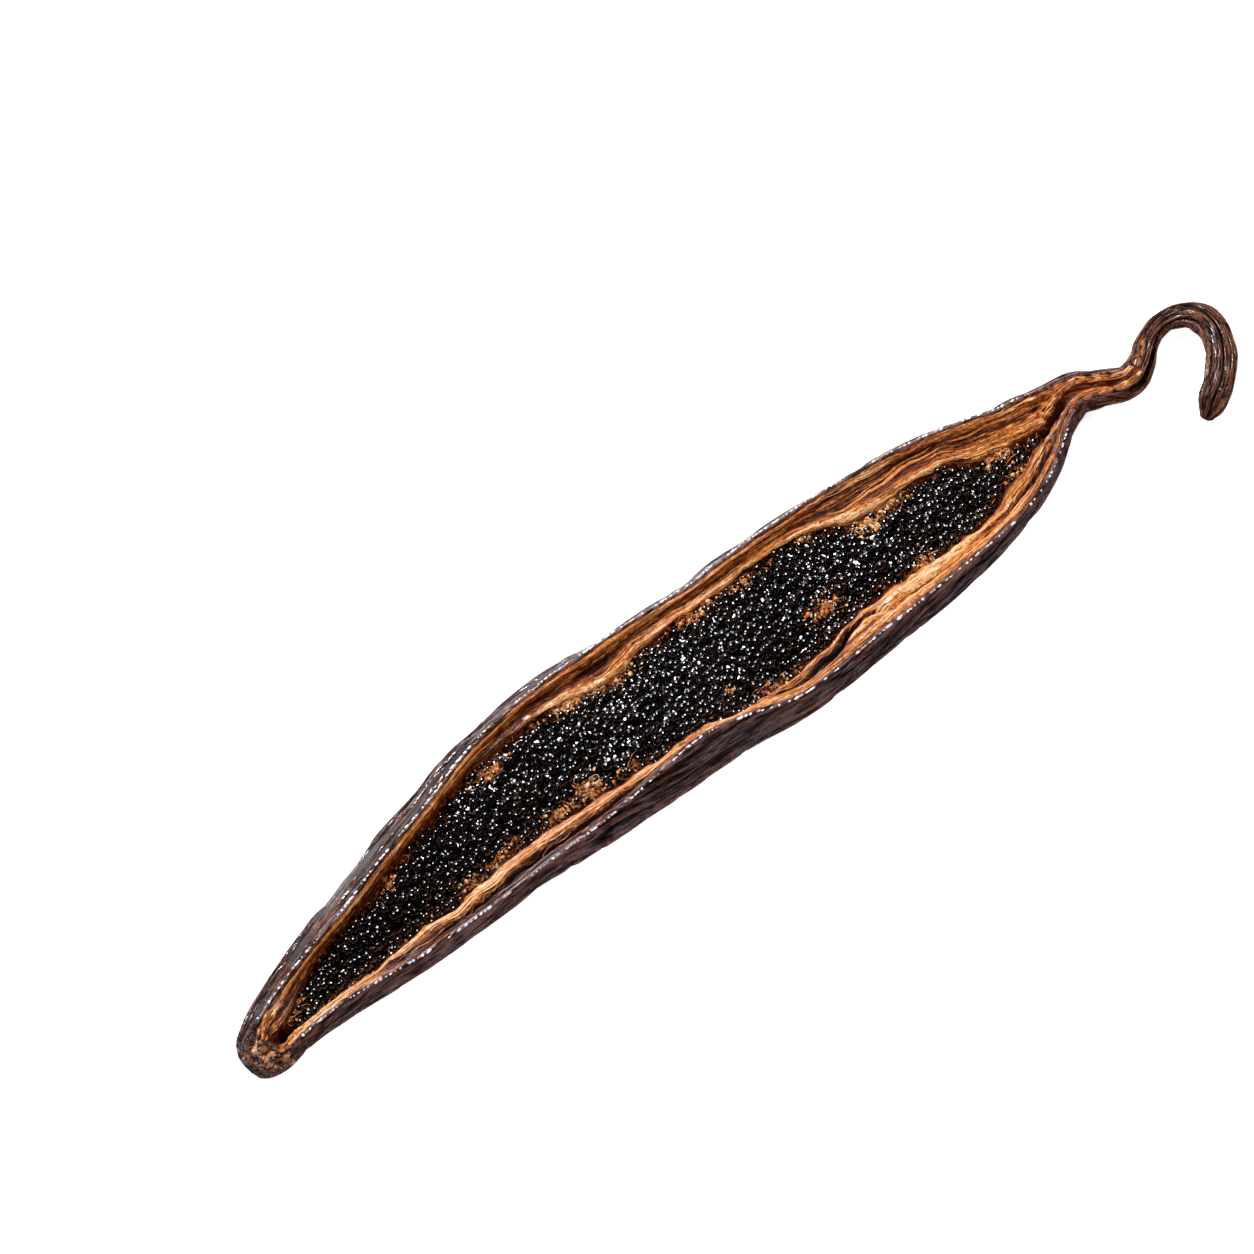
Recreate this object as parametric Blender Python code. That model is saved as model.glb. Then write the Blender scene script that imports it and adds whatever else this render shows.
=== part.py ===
"""A vanilla pod split open along its length.

The pod lies on its back. Its blunt end is at -X and its hooked stem end at +X. The husk is
one leathery trough that closes into a solid neck and a curled stem. A soft flesh lining
lies inside the husk, and a bed of tiny seeds fills the lining. All lengths below are in
millimetres, and the meshes are made in metres. Distances along the pod run from the blunt
end along the pod's own centreline.
"""
import math

import bmesh
import bpy
import numpy as np

MM = 0.001

# Centreline seen from above, as (x, y): the body, then the neck and the curled stem.
BODY_LINE = [
    (0.9, -0.4), (4.7, 0.1), (7.8, 1.0), (13.9, 1.9), (26.0, 2.45), (38.2, 3.1), (44.2, 3.5),
    (50.3, 3.3), (56.4, 2.9), (68.5, 1.8), (74.6, 1.2), (80.7, 0.4), (92.8, 0.0), (105.0, -0.6),
    (114.0, -0.7), (120.0, -0.3), (125.0, 0.6),
]
STEM_LINE = [
    (130.2, 1.1), (133.3, -0.1), (136.0, -1.45), (137.8, -1.6), (139.5, -0.85), (141.4, 0.4),
    (142.7, 1.1), (144.1, 1.5), (145.5, 1.5), (147.0, 1.0), (148.2, 0.0), (148.9, -1.5),
    (148.9, -3.2), (148.2, -5.1), (147.0, -6.9), (145.4, -8.4), (143.8, -9.5), (142.1, -10.4),
]

# Half of the husk's width, against distance along the pod.
HALF_WIDTH = [
    (0.7, 2.2), (1.1, 2.9), (2.0, 3.5), (3.6, 4.05), (7.8, 4.6), (13.9, 5.8), (26.0, 8.05),
    (38.2, 9.45), (50.3, 10.8), (58.0, 11.15), (68.5, 10.75), (74.0, 10.7), (80.7, 11.2),
    (92.8, 10.65), (105.0, 9.7), (111.0, 8.8), (117.1, 7.3), (123.2, 5.2), (129.3, 3.1),
    (133.0, 2.5), (136.5, 2.2), (139.5, 1.8), (143.5, 1.5), (146.2, 1.45), (149.0, 1.7),
    (152.5, 1.95), (157.0, 2.0), (161.0, 2.0), (163.0, 1.7), (164.0, 1.1),
]
# Height of the section over its width.
ROUNDNESS = [
    (0.0, 0.95), (7.8, 0.85), (20.0, 0.81), (38.2, 0.755), (50.0, 0.72), (86.0, 0.72),
    (105.0, 0.766), (117.1, 0.81), (129.3, 0.88), (141.0, 1.0), (164.0, 1.0),
]
# Clearance of the underside over the surface that the pod lies on.
LIFT = [
    (0.0, 1.6), (6.0, 0.9), (14.0, 0.25), (22.0, 0.0), (108.0, 0.0), (118.0, 0.2),
    (130.0, 0.9), (141.0, 0.8), (164.0, 0.6),
]
# Angle from the top of the section to each rim of the split, on the +Y and the -Y side.
RIM_LEFT = [
    (0.0, 26.0), (6.0, 30.0), (13.9, 29.0), (20.0, 29.0), (26.0, 34.0), (38.2, 42.0),
    (50.3, 52.0), (60.0, 54.0), (68.5, 62.0), (80.7, 60.0), (92.8, 63.0), (105.0, 62.0),
    (117.1, 56.0), (123.2, 50.0), (129.3, 40.0), (137.0, 34.0), (164.0, 34.0),
]
RIM_RIGHT = [
    (0.0, 34.0), (6.0, 50.0), (13.9, 54.0), (20.0, 59.0), (26.0, 64.0), (38.2, 66.0),
    (50.3, 61.5), (60.0, 52.0), (67.0, 47.0), (74.6, 55.0), (80.7, 62.0), (92.8, 61.0),
    (105.0, 61.0), (117.1, 68.0), (123.2, 62.0), (129.3, 44.0), (137.0, 34.0), (164.0, 34.0),
]
# How far the split opens into a hollow: 0 is a solid section and 1 the full hollow.
HOLLOW = [(0.0, 0.0), (2.6, 0.0), (8.5, 1.0), (121.0, 1.0), (129.0, 0.0), (164.0, 0.0)]
# Depth of the groove that runs on along the neck once the hollow has closed.
NECK_GROOVE = [(0.0, 0.0), (120.0, 0.0), (128.0, 1.1), (136.0, 0.8), (141.0, 0.0), (164.0, 0.0)]

HUSK_WALL = 0.9
GAP = 0.36
# The underside is pressed flat by this much where it rests.
FLAT_SINK = 0.35
# Lengthwise folds of the skin: two waves round the section, shallower where the pod is thin.
FOLD_DEPTH = 0.22
FOLDS_FINE = 11
FOLDS_BROAD = 7
FOLD_WANDER = 21.0
FULL_FOLD_HALF_WIDTH = 6.0

# Width of the flesh that shows between each rim and the seeds.
LIP_LEFT = [(6.0, 1.2), (20.0, 0.9), (38.0, 0.9), (50.0, 1.5), (60.0, 2.8), (72.0, 2.1),
            (90.0, 2.3), (100.0, 3.6), (112.0, 3.3), (126.0, 1.4)]
LIP_RIGHT = [(6.0, 0.9), (20.0, 1.1), (38.0, 2.1), (50.0, 2.3), (60.0, 1.6), (72.0, 1.4),
             (84.0, 2.6), (92.0, 3.0), (104.0, 2.3), (116.0, 2.6), (126.0, 1.4)]
# The lips never take up more than this share of the split's width.
LIP_SHARE = 0.8
# The edge of the seeds lies this far below the rims, or at most halfway down the hollow.
SEED_DROP = 2.1
LINING_FLOOR = 1.0
LINING_SPAN = (5.0, 125.6)
SEED_SPAN = (8.0, 123.0)
# The seeds stand up in the middle by the crown, where their bed has its full width.
SEED_CROWN = 1.0
FULL_CROWN_WIDTH = 9.0
SEED_UNEVEN = 0.22
SEED_BUMP_TURNS = (0.9, 0.43)
# Least depth of the bed under its edges, and how square its bottom is.
BED_LEAST_DEPTH = 0.3
BED_SQUARENESS = 0.8

# Sections stand close together over the blunt end, then evenly along the body and the stem.
BLUNT_PLACES = [0.7, 1.1, 2.0, 3.4]
BODY_SPAN = (5.0, 128.0)
BODY_STEP = 3.0
STEM_STEP = 1.5
TIP_ROUND = 1.0
OUTER_POINTS = 27
INNER_POINTS = 13
BED_POINTS = 9

HUSK_COLOUR = (0.055, 0.032, 0.028, 1.0)
LINING_COLOUR = (0.42, 0.20, 0.085, 1.0)
SEED_COLOUR = (0.012, 0.009, 0.009, 1.0)


def clear_scene():
    """Remove what the file already holds."""
    for old in list(bpy.data.objects):
        bpy.data.objects.remove(old, do_unlink=True)


def material(name, colour, roughness):
    """A plain Principled material."""
    made = bpy.data.materials.new(name)
    made.use_nodes = True
    shader = made.node_tree.nodes["Principled BSDF"]
    shader.inputs["Base Color"].default_value = colour
    shader.inputs["Roughness"].default_value = roughness
    shader.inputs["Metallic"].default_value = 0.0
    return made


def along(table, place):
    """Read a table at one place, with a smooth cubic between its entries."""
    keys = [key for key, _ in table]
    if place <= keys[0]:
        return table[0][1]
    if place >= keys[-1]:
        return table[-1][1]
    right = next(i for i, key in enumerate(keys) if key > place)
    left = right - 1
    width = keys[right] - keys[left]
    t = (place - keys[left]) / width
    rise = (table[right][1] - table[left][1]) / width
    before = rise if left == 0 else (table[left][1] - table[left - 1][1]) / (keys[left] - keys[left - 1])
    after = rise
    if right < len(table) - 1:
        after = (table[right + 1][1] - table[right][1]) / (keys[right + 1] - keys[right])
    start_slope = 0.0 if before * rise <= 0 else 2 * before * rise / (before + rise)
    end_slope = 0.0 if after * rise <= 0 else 2 * after * rise / (after + rise)
    return (
        (2 * t**3 - 3 * t**2 + 1) * table[left][1]
        + (t**3 - 2 * t**2 + t) * width * start_slope
        + (3 * t**2 - 2 * t**3) * table[right][1]
        + (t**3 - t**2) * width * end_slope
    )


class Centreline:
    """The pod's centreline seen from above, as a smooth curve measured by its own length."""

    def __init__(self, points, fineness=24):
        corners = np.array(points, float)
        ends = 2 * corners[0] - corners[1], 2 * corners[-1] - corners[-2]
        padded = np.vstack([ends[0], corners, ends[1]])
        dense = []
        for i in range(1, len(padded) - 2):
            a, b, c, d = padded[i - 1: i + 3]
            for t in np.arange(fineness) / fineness:
                dense.append(0.5 * (2 * b + (c - a) * t + (2 * a - 5 * b + 4 * c - d) * t**2
                                    + (3 * b - a - 3 * c + d) * t**3))
        dense.append(corners[-1])
        self.points = np.array(dense)
        steps = np.linalg.norm(np.diff(self.points, axis=0), axis=1)
        self.lengths = np.concatenate([[0.0], np.cumsum(steps)])
        self.length = self.lengths[-1]

    def at(self, distance):
        """The point at a distance along the line, followed straight on past either end."""
        inside = min(max(distance, 0.0), self.length)
        point = np.array([np.interp(inside, self.lengths, self.points[:, i]) for i in (0, 1)])
        return point + (distance - inside) * self.heading(inside)

    def heading(self, distance, reach=0.6):
        """Unit direction of the line at a distance."""
        middle = min(max(distance, 0.0), self.length)
        ends = []
        for place in (middle - reach, middle + reach):
            inside = min(max(place, 0.0), self.length)
            ends.append([np.interp(inside, self.lengths, self.points[:, i]) for i in (0, 1)])
        step = np.array(ends[1]) - np.array(ends[0])
        return step / np.linalg.norm(step)


class Section:
    """One cross-section of the pod, in its own flat frame: u to the left (+Y side), v up."""

    def __init__(self, place):
        self.place = place
        self.half = along(HALF_WIDTH, place)
        self.rise = self.half * along(ROUNDNESS, place)
        self.middle = along(LIFT, place) + self.rise
        self.left = math.radians(along(RIM_LEFT, place))
        self.right = math.radians(along(RIM_RIGHT, place))
        self.hollow = along(HOLLOW, place)
        self.floor = along(LIFT, place)

    def on_husk(self, angle, inset=0.0, fold=0.0):
        """Point of the husk at an angle from the top, towards +Y, inset from its outside."""
        half = self.half - inset + fold
        rise = self.rise - inset + fold
        return np.array([half * math.sin(angle), self.middle + rise * math.cos(angle)])

    def fold(self, angle):
        """Lengthwise folds of the skin, which wander a little along the pod."""
        turn = self.place / FOLD_WANDER
        wander = 0.9 * math.sin(turn) + 0.5 * math.sin(2.3 * turn + 1.0)
        wave = math.cos(FOLDS_FINE * angle + wander) + 0.5 * math.cos(FOLDS_BROAD * angle - wander)
        return FOLD_DEPTH * wave * min(1.0, self.half / FULL_FOLD_HALF_WIDTH)

    def outer(self, count):
        """Outside of the husk from the -Y rim, round the underside, to the +Y rim."""
        points = []
        for angle in np.linspace(-self.right, self.left - 2 * math.pi, count):
            point = self.on_husk(angle, fold=self.fold(angle))
            point[1] = max(point[1] - FLAT_SINK, self.floor)
            points.append(point)
        return points

    def cavity(self, count):
        """Inside of the husk, from the +Y rim to the -Y rim."""
        groove = along(NECK_GROOVE, self.place)
        points = []
        for t in np.linspace(0.0, 1.0, count):
            over = self.left + t * (-self.right - self.left)
            under = self.left + t * (2 * math.pi - self.right - self.left)
            dip = groove * math.sin(math.pi * t) ** 2
            lid = self.on_husk(over) - np.array([0.0, FLAT_SINK + dip])
            bowl = self.on_husk(under, inset=HUSK_WALL)
            points.append(lid + self.hollow * (bowl - lid))
        return points

    def mouth(self):
        """The middle of the split, level with its rims."""
        wall = self.cavity(3)
        return 0.5 * (wall[0] + wall[-1])

    def drawn_in(self, points, distance):
        """Points moved towards the mouth of the split, to keep a gap to their neighbour."""
        mouth = self.mouth()
        moved = []
        for point in points:
            way = mouth - point
            moved.append(point + way * (distance / np.linalg.norm(way)))
        return moved

    def bed_edges(self):
        """Where the seeds meet the flesh, on the +Y and the -Y side."""
        rim_left, bottom, rim_right = self.cavity(3)
        rim_left, _, rim_right = self.drawn_in([rim_left, bottom, rim_right], GAP)
        lips = along(LIP_LEFT, self.place), along(LIP_RIGHT, self.place)
        shrink = min(1.0, LIP_SHARE * (rim_left[0] - rim_right[0]) / sum(lips))
        drop = min(SEED_DROP, 0.5 * (self.mouth()[1] - bottom[1]))
        left = rim_left - np.array([lips[0] * shrink, drop])
        right = rim_right + np.array([lips[1] * shrink, -drop])
        return left, right

    def bed(self, count, inset=0.0):
        """The hollow that holds the seeds, from its +Y edge to its -Y edge."""
        left, right = self.bed_edges()
        left = left - np.array([inset, 0.0])
        right = right + np.array([inset, 0.0])
        bottom = self.cavity(3)[1]
        low = bottom[1] + GAP + LINING_FLOOR + inset
        depth = max(0.5 * (left[1] + right[1]) - low, BED_LEAST_DEPTH)
        points = []
        for angle in np.linspace(0.0, math.pi, count):
            level = left + (right - left) * 0.5 * (1 - math.cos(angle))
            points.append(level - np.array([0.0, depth * math.sin(angle) ** BED_SQUARENESS]))
        return points

    def heap(self, count):
        """Top of the seeds from the -Y edge to the +Y edge: a crown with an uneven surface."""
        left, right = self.bed_edges()
        left = left - np.array([GAP, 0.0])
        right = right + np.array([GAP, 0.0])
        crown = SEED_CROWN * min(1.0, (left[0] - right[0]) / FULL_CROWN_WIDTH)
        slow, quick = SEED_BUMP_TURNS[1] * self.place, SEED_BUMP_TURNS[0] * self.place
        points = []
        for t in np.linspace(0.0, 1.0, count)[1:-1]:
            point = right + (left - right) * t
            bumps = math.sin(quick + 5 * t) * math.cos(slow - 9 * t)
            point[1] += crown * math.sin(math.pi * t) + SEED_UNEVEN * bumps
            points.append(point)
        return points


def placed(line, place, flat_points):
    """Section points turned into points of space, square to the centreline."""
    x, y = line.at(place)
    ahead = line.heading(place)
    return [(MM * (x - u * ahead[1]), MM * (y + u * ahead[0]), MM * v) for u, v in flat_points]


def loft(name, rings, colour, roughness):
    """A closed body through rings that all have the same number of points."""
    mesh = bmesh.new()
    rows = [[mesh.verts.new(point) for point in ring] for ring in rings]
    count = len(rows[0])
    for near, far in zip(rows, rows[1:]):
        for i in range(count):
            j = (i + 1) % count
            mesh.faces.new((near[i], near[j], far[j], far[i]))
    mesh.faces.new(tuple(reversed(rows[0])))
    mesh.faces.new(tuple(rows[-1]))
    bmesh.ops.triangulate(mesh, faces=mesh.faces[:])
    bmesh.ops.recalc_face_normals(mesh, faces=mesh.faces[:])
    data = bpy.data.meshes.new(name)
    mesh.to_mesh(data)
    mesh.free()
    data.shade_smooth()
    data.set_sharp_from_angle(angle=math.radians(50))
    data.materials.append(material(name, colour, roughness))
    made = bpy.data.objects.new(name, data)
    bpy.context.collection.objects.link(made)
    return made


def spread(start, end, step):
    """Even places from start to end, no further apart than step."""
    return list(np.linspace(start, end, max(2, math.ceil((end - start) / step) + 1)))


def husk(line):
    """The leathery skin: a split trough with a solid blunt end, neck and curled stem."""
    tip = HALF_WIDTH[-1][0]
    places = BLUNT_PLACES + spread(*BODY_SPAN, BODY_STEP)
    places += spread(BODY_SPAN[1] + STEM_STEP, tip - TIP_ROUND, STEM_STEP) + [tip]
    rings = []
    for place in places:
        cut = Section(place)
        ring = cut.outer(OUTER_POINTS) + cut.cavity(INNER_POINTS)
        rings.append(placed(line, place, ring))
    return loft("husk", rings, HUSK_COLOUR, 0.45)


def lining(line):
    """The soft flesh between the husk and the seeds, with a broad lip along each rim."""
    rings = []
    for place in spread(*LINING_SPAN, BODY_STEP):
        cut = Section(place)
        outside = cut.drawn_in(cut.cavity(INNER_POINTS), GAP)
        inside = cut.bed(BED_POINTS)
        rings.append(placed(line, place, outside + inside[::-1]))
    return loft("flesh_lining", rings, LINING_COLOUR, 0.5)


def seed_bed(line):
    """The mass of tiny seeds, out to its uneven top."""
    rings = []
    for place in spread(*SEED_SPAN, BODY_STEP):
        cut = Section(place)
        ring = cut.bed(BED_POINTS, inset=GAP) + cut.heap(BED_POINTS)
        rings.append(placed(line, place, ring))
    return loft("seed_mass", rings, SEED_COLOUR, 0.3)


def centre_on_origin(pieces):
    """Put the middle of the pod's footprint on the origin, with its underside at z = 0."""
    corners = np.array([v.co[:] for piece in pieces for v in piece.data.vertices])
    low, high = corners.min(axis=0), corners.max(axis=0)
    shift = (0.5 * (low[0] + high[0]), 0.5 * (low[1] + high[1]), low[2])
    for piece in pieces:
        for vertex in piece.data.vertices:
            vertex.co.x -= shift[0]
            vertex.co.y -= shift[1]
            vertex.co.z -= shift[2]


def main():
    clear_scene()
    line = Centreline(BODY_LINE + STEM_LINE)
    centre_on_origin([husk(line), lining(line), seed_bed(line)])


main()
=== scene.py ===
"""Looks of a cured vanilla pod that is split open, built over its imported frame.

The pod's cross-sections are worked out from the same tables as the frame, in millimetres,
and every piece is made in metres. Places along the pod run from the blunt end along its
centreline. In a section, u points to the +Y side and v points up.
"""
import math

import bmesh
import bpy
import numpy as np
from bpy.props import FloatProperty, FloatVectorProperty, IntProperty, PointerProperty
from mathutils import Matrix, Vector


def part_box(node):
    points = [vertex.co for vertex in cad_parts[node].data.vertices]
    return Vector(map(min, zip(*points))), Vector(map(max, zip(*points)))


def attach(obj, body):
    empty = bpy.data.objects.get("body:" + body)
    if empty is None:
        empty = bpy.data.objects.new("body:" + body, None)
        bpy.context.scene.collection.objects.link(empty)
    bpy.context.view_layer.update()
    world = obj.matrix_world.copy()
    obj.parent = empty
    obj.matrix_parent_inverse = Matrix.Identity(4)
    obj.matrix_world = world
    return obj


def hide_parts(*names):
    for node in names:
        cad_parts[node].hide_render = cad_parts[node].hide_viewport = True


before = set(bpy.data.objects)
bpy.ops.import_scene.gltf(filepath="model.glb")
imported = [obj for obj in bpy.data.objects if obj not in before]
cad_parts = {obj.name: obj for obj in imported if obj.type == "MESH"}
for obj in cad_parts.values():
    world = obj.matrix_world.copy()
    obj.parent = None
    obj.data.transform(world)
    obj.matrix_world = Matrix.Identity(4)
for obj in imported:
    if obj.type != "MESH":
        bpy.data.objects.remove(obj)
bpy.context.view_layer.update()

bl_info = {
    "name": "Vanilla Pod",
    "version": (1, 0, 0),
    "blender": (4, 5, 0),
    "location": "3D View > Sidebar > Vanilla Pod",
    "description": "Builds a split vanilla pod with its skin, flesh and seeds",
    "category": "Add Mesh",
}

MM = 0.001

# ---------------------------------------------------------------- the pod's own sizes, in mm

BODY_LINE = [
    (0.9, -0.4), (4.7, 0.1), (7.8, 1), (13.9, 1.9), (26, 2.45), (38.2, 3.1), (44.2, 3.5),
    (50.3, 3.3), (56.4, 2.9), (68.5, 1.8), (74.6, 1.2), (80.7, 0.4), (92.8, 0), (105, -0.6),
    (114, -0.7), (120, -0.3), (125, 0.6),
]
STEM_LINE = [
    (130.2, 1.1), (133.3, -0.1), (136, -1.45), (137.8, -1.6), (139.5, -0.85), (141.4, 0.4),
    (142.7, 1.1), (144.1, 1.5), (145.5, 1.5), (147, 1), (148.2, 0), (148.9, -1.5), (148.9, -3.2),
    (148.2, -5.1), (147, -6.9), (145.4, -8.4), (143.8, -9.5), (142.1, -10.4),
]
HALF_WIDTH = [
    (0.7, 2.2), (1.1, 2.9), (2, 3.5), (3.6, 4.05), (7.8, 4.6), (13.9, 5.8), (26, 8.05),
    (38.2, 9.45), (50.3, 10.8), (58, 11.15), (68.5, 10.75), (74, 10.7), (80.7, 11.2), (92.8, 10.65),
    (105, 9.7), (111, 8.8), (117.1, 7.3), (123.2, 5.2), (129.3, 3.1), (133, 2.5), (136.5, 2.2),
    (139.5, 1.8), (143.5, 1.5), (146.2, 1.45), (149, 1.7), (152.5, 1.95), (157, 2), (161, 2),
    (163, 1.7), (164, 1.1),
]
ROUNDNESS = [
    (0, 0.95), (7.8, 0.85), (20, 0.81), (38.2, 0.755), (50, 0.72), (86, 0.72), (105, 0.766),
    (117.1, 0.81), (129.3, 0.88), (141, 1), (164, 1),
]
LIFT = [
    (0, 1.6), (6, 0.9), (14, 0.25), (22, 0), (108, 0), (118, 0.2), (130, 0.9), (141, 0.8),
    (164, 0.6),
]
RIM_LEFT = [
    (0, 26), (6, 30), (13.9, 29), (20, 29), (26, 34), (38.2, 42), (50.3, 52), (60, 54), (68.5, 62),
    (80.7, 60), (92.8, 63), (105, 62), (117.1, 56), (123.2, 50), (129.3, 40), (137, 34), (164, 34),
]
RIM_RIGHT = [
    (0, 34), (6, 50), (13.9, 54), (20, 59), (26, 64), (38.2, 66), (50.3, 61.5), (60, 52), (67, 47),
    (74.6, 55), (80.7, 62), (92.8, 61), (105, 61), (117.1, 68), (123.2, 62), (129.3, 44), (137, 34),
    (164, 34),
]
# How far the skin opens into a hollow: 0 is a solid section and 1 the full hollow.
HOLLOW = [(0, 0), (2, 0), (6.5, 1), (133, 1), (140.5, 0), (164, 0)]
FLAT_SINK = 0.35
POD_START, POD_END = 0.7, 164.0

# Skin
SKIN_EDGE = 0.5
SKIN_WALL = 0.9
SKIN_STEP = 0.55
SKIN_OUTER_POINTS = 240
SKIN_INNER_POINTS = 20
RIM_ROUND_POINTS = 3
ROLL = 7.3
FULL_FOLD_HALF_WIDTH = 9.0
LID_FOLD_STRENGTH = 0.8
# Closer rings at the blunt end and the tip: how far they reach and how many they are.
BLUNT_LONG, BLUNT_RINGS = 6.0, 26
TIP_LONG, TIP_RINGS = 1.4, 7
# The rings that close either end: size of each and how far out it lies.
BLUNT_DOME = [
    (0.97, 0.08), (0.92, 0.14), (0.84, 0.2), (0.74, 0.25), (0.62, 0.28), (0.5, 0.3), (0.38, 0.3),
    (0.26, 0.3), (0.14, 0.3),
]
TIP_DOME = [(0.94, 0.16), (0.84, 0.3), (0.68, 0.42), (0.5, 0.5), (0.3, 0.55), (0.12, 0.57)]
# The skin turns into stem skin between these places.
STEM_BEGINS = (122.0, 138.0)
# Strength of the broad folds from the -Y rim (0) round the underside to the +Y rim (1).
FOLD_STRENGTH = [(0, 0.2), (0.12, 0.3), (0.28, 1), (0.72, 1), (0.9, 0.8), (1, 0.5)]
# The granular scar on top of the blunt end: its middle and reach seen from above, and the heights
# between which it begins.
SCAR_MIDDLE, SCAR_REACH, SCAR_HEIGHTS = (2.9, -1.5), (2.9, 3.1), (3.9, 5.1)
# Its grains: their number, lowest height, radius, how far they lie off the scar, and the least
# strength of the scar under them.
SCAR_GRAINS, GRAINS_FROM, GRAIN_RADIUS, GRAIN_OFF, GRAIN_SCAR = 280, 4.6, (0.08, 0.24), 0.06, 0.5
# The pale clumps that they gather in: number, reach, and the share of grains between clumps.
SCAR_CLUMPS, CLUMP_REACH, CLUMP_LOOSE = 9, 0.45, 0.12
# The tan smear of flesh that runs on from the neck onto the stem: its place, its side of the
# middle, its reach along and across, and the heights between which it begins.
SMEAR_PLACE, SMEAR_SIDE, SMEAR_REACH, SMEAR_HEIGHTS = 141.2, 0.9, (2.6, 1.1), (2.4, 3.2)

# Flesh: where it meets the seeds on either side, and how high that edge lies.
SEEDS_FROM, SEEDS_TO = 7.6, 123.2
EDGE_LEFT = [
    (3, -0.9), (5, -0.4), (8, -0.5), (11, 0.8), (14, 2), (20, 2.4), (26, 3.2), (32, 4.3), (38, 5.2),
    (44, 5.8), (50, 6.3), (56, 5.8), (62, 4.5), (68, 6.3), (80, 7.3), (87, 7.4), (93, 6.7),
    (98.5, 4.2), (105, 4), (111, 3.4), (117, 0.6), (121, -0.1), (124, -0.9), (130, 0.3),
    (140, 0.15),
]
EDGE_RIGHT = [
    (3, -1.2), (5, -1.8), (8, -2.4), (14, -3.1), (20, -3.9), (26, -3.9), (32, -4.7), (38, -4.7),
    (44, -5.4), (50, -5.9), (61, -6.9), (67, -6.5), (73, -7.2), (80, -6.7), (86, -6.2), (92, -5),
    (98, -5.2), (110, -5.1), (117, -2.9), (122, -1.9), (124, -1.8), (130, -0.5), (140, -0.15),
]
EDGE_HEIGHT_LEFT = [
    (3, 6.2), (5, 5.4), (8, 5.2), (14, 6.3), (20, 7.7), (26, 8.7), (32, 9.3), (44, 9.8), (56, 10.1),
    (62, 9.9), (68, 9), (80, 9.4), (93, 8.8), (105, 8.4), (111, 7.9), (117, 6.8), (124, 5.3),
    (130, 4.8), (136, 4.1), (140, 4.2),
]
EDGE_HEIGHT_RIGHT = [
    (3, 6), (5, 4.8), (8, 4.4), (14, 5.2), (20, 6), (26, 6.6), (32, 7.1), (44, 8.1), (50, 8.8),
    (56, 9.7), (62, 10.2), (68, 10.2), (74, 9.7), (80, 9.3), (92, 9), (104, 8.6), (111, 7.6),
    (117, 6), (124, 4.9), (130, 4.7), (136, 4.1), (140, 4.2),
]
# How far the bed sags below its edges: a pit at the blunt end and a valley along the neck.
BED_SAG = [
    (3, 0.1), (4.5, 1), (6.5, 2.2), (8.5, 1.8), (14, 1.6), (116, 1.6), (124, 1.2), (130, 0.55),
    (137, 0.4), (140, 0.05),
]
FLESH_FROM, FLESH_TO = 3.0, 139.8
FLESH_STEP = 0.3
FLESH_SIDE_POINTS = 36
FLESH_BED_POINTS = 14
FLESH_BACK_POINTS = 18
FLESH_CLEAR = 0.06
RIM_CREST = 0.22
# The hollow band between rim and inner crest on the +Y side, and the inner crest's height.
BAND_LEFT = [
    (3, 0), (8, 0.25), (20, 0.15), (40, 0.25), (50, 0.55), (62, 0.8), (70, 0.45), (86, 0.45),
    (100, 0.5), (116, 0.3), (126, 0.1), (140, 0),
]
CREST_LEFT = [
    (3, 0.1), (10, 0.3), (24, 0.15), (42, 0.2), (56, 0.6), (68, 0.55), (80, 0.45), (95, 0.55),
    (108, 0.6), (120, 0.4), (130, 0.3), (140, 0.1),
]
# The slit between rim and lip on the -Y side, which widens into a pocket, and the lip.
SLIT_RIGHT = [
    (3, 0), (18, 0.1), (24, 1.3), (40, 1.8), (58, 1.5), (66, 0.25), (75, 0.5), (80, 2.2), (88, 2.2),
    (92, 0.8), (96, 0.2), (104, 0.5), (116, 0.5), (128, 0.1), (140, 0),
]
SLIT_PLACE = [(3, 0.34), (60, 0.34), (76, 0.62), (84, 0.56), (91, 0.66), (96, 0.36), (140, 0.4)]
SLIT_WIDTH = [
    (3, 0.08), (30, 0.115), (60, 0.1), (76, 0.07), (84, 0.15), (91, 0.06), (98, 0.08), (140, 0.1),
]
CREST_RIGHT = [
    (3, 0.1), (12, 0.3), (30, 0.5), (56, 0.45), (66, 0.4), (80, 0.3), (90, 0.5), (96, 0.7),
    (104, 0.5), (110, 0.45), (124, 0.35), (140, 0.1),
]

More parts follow.
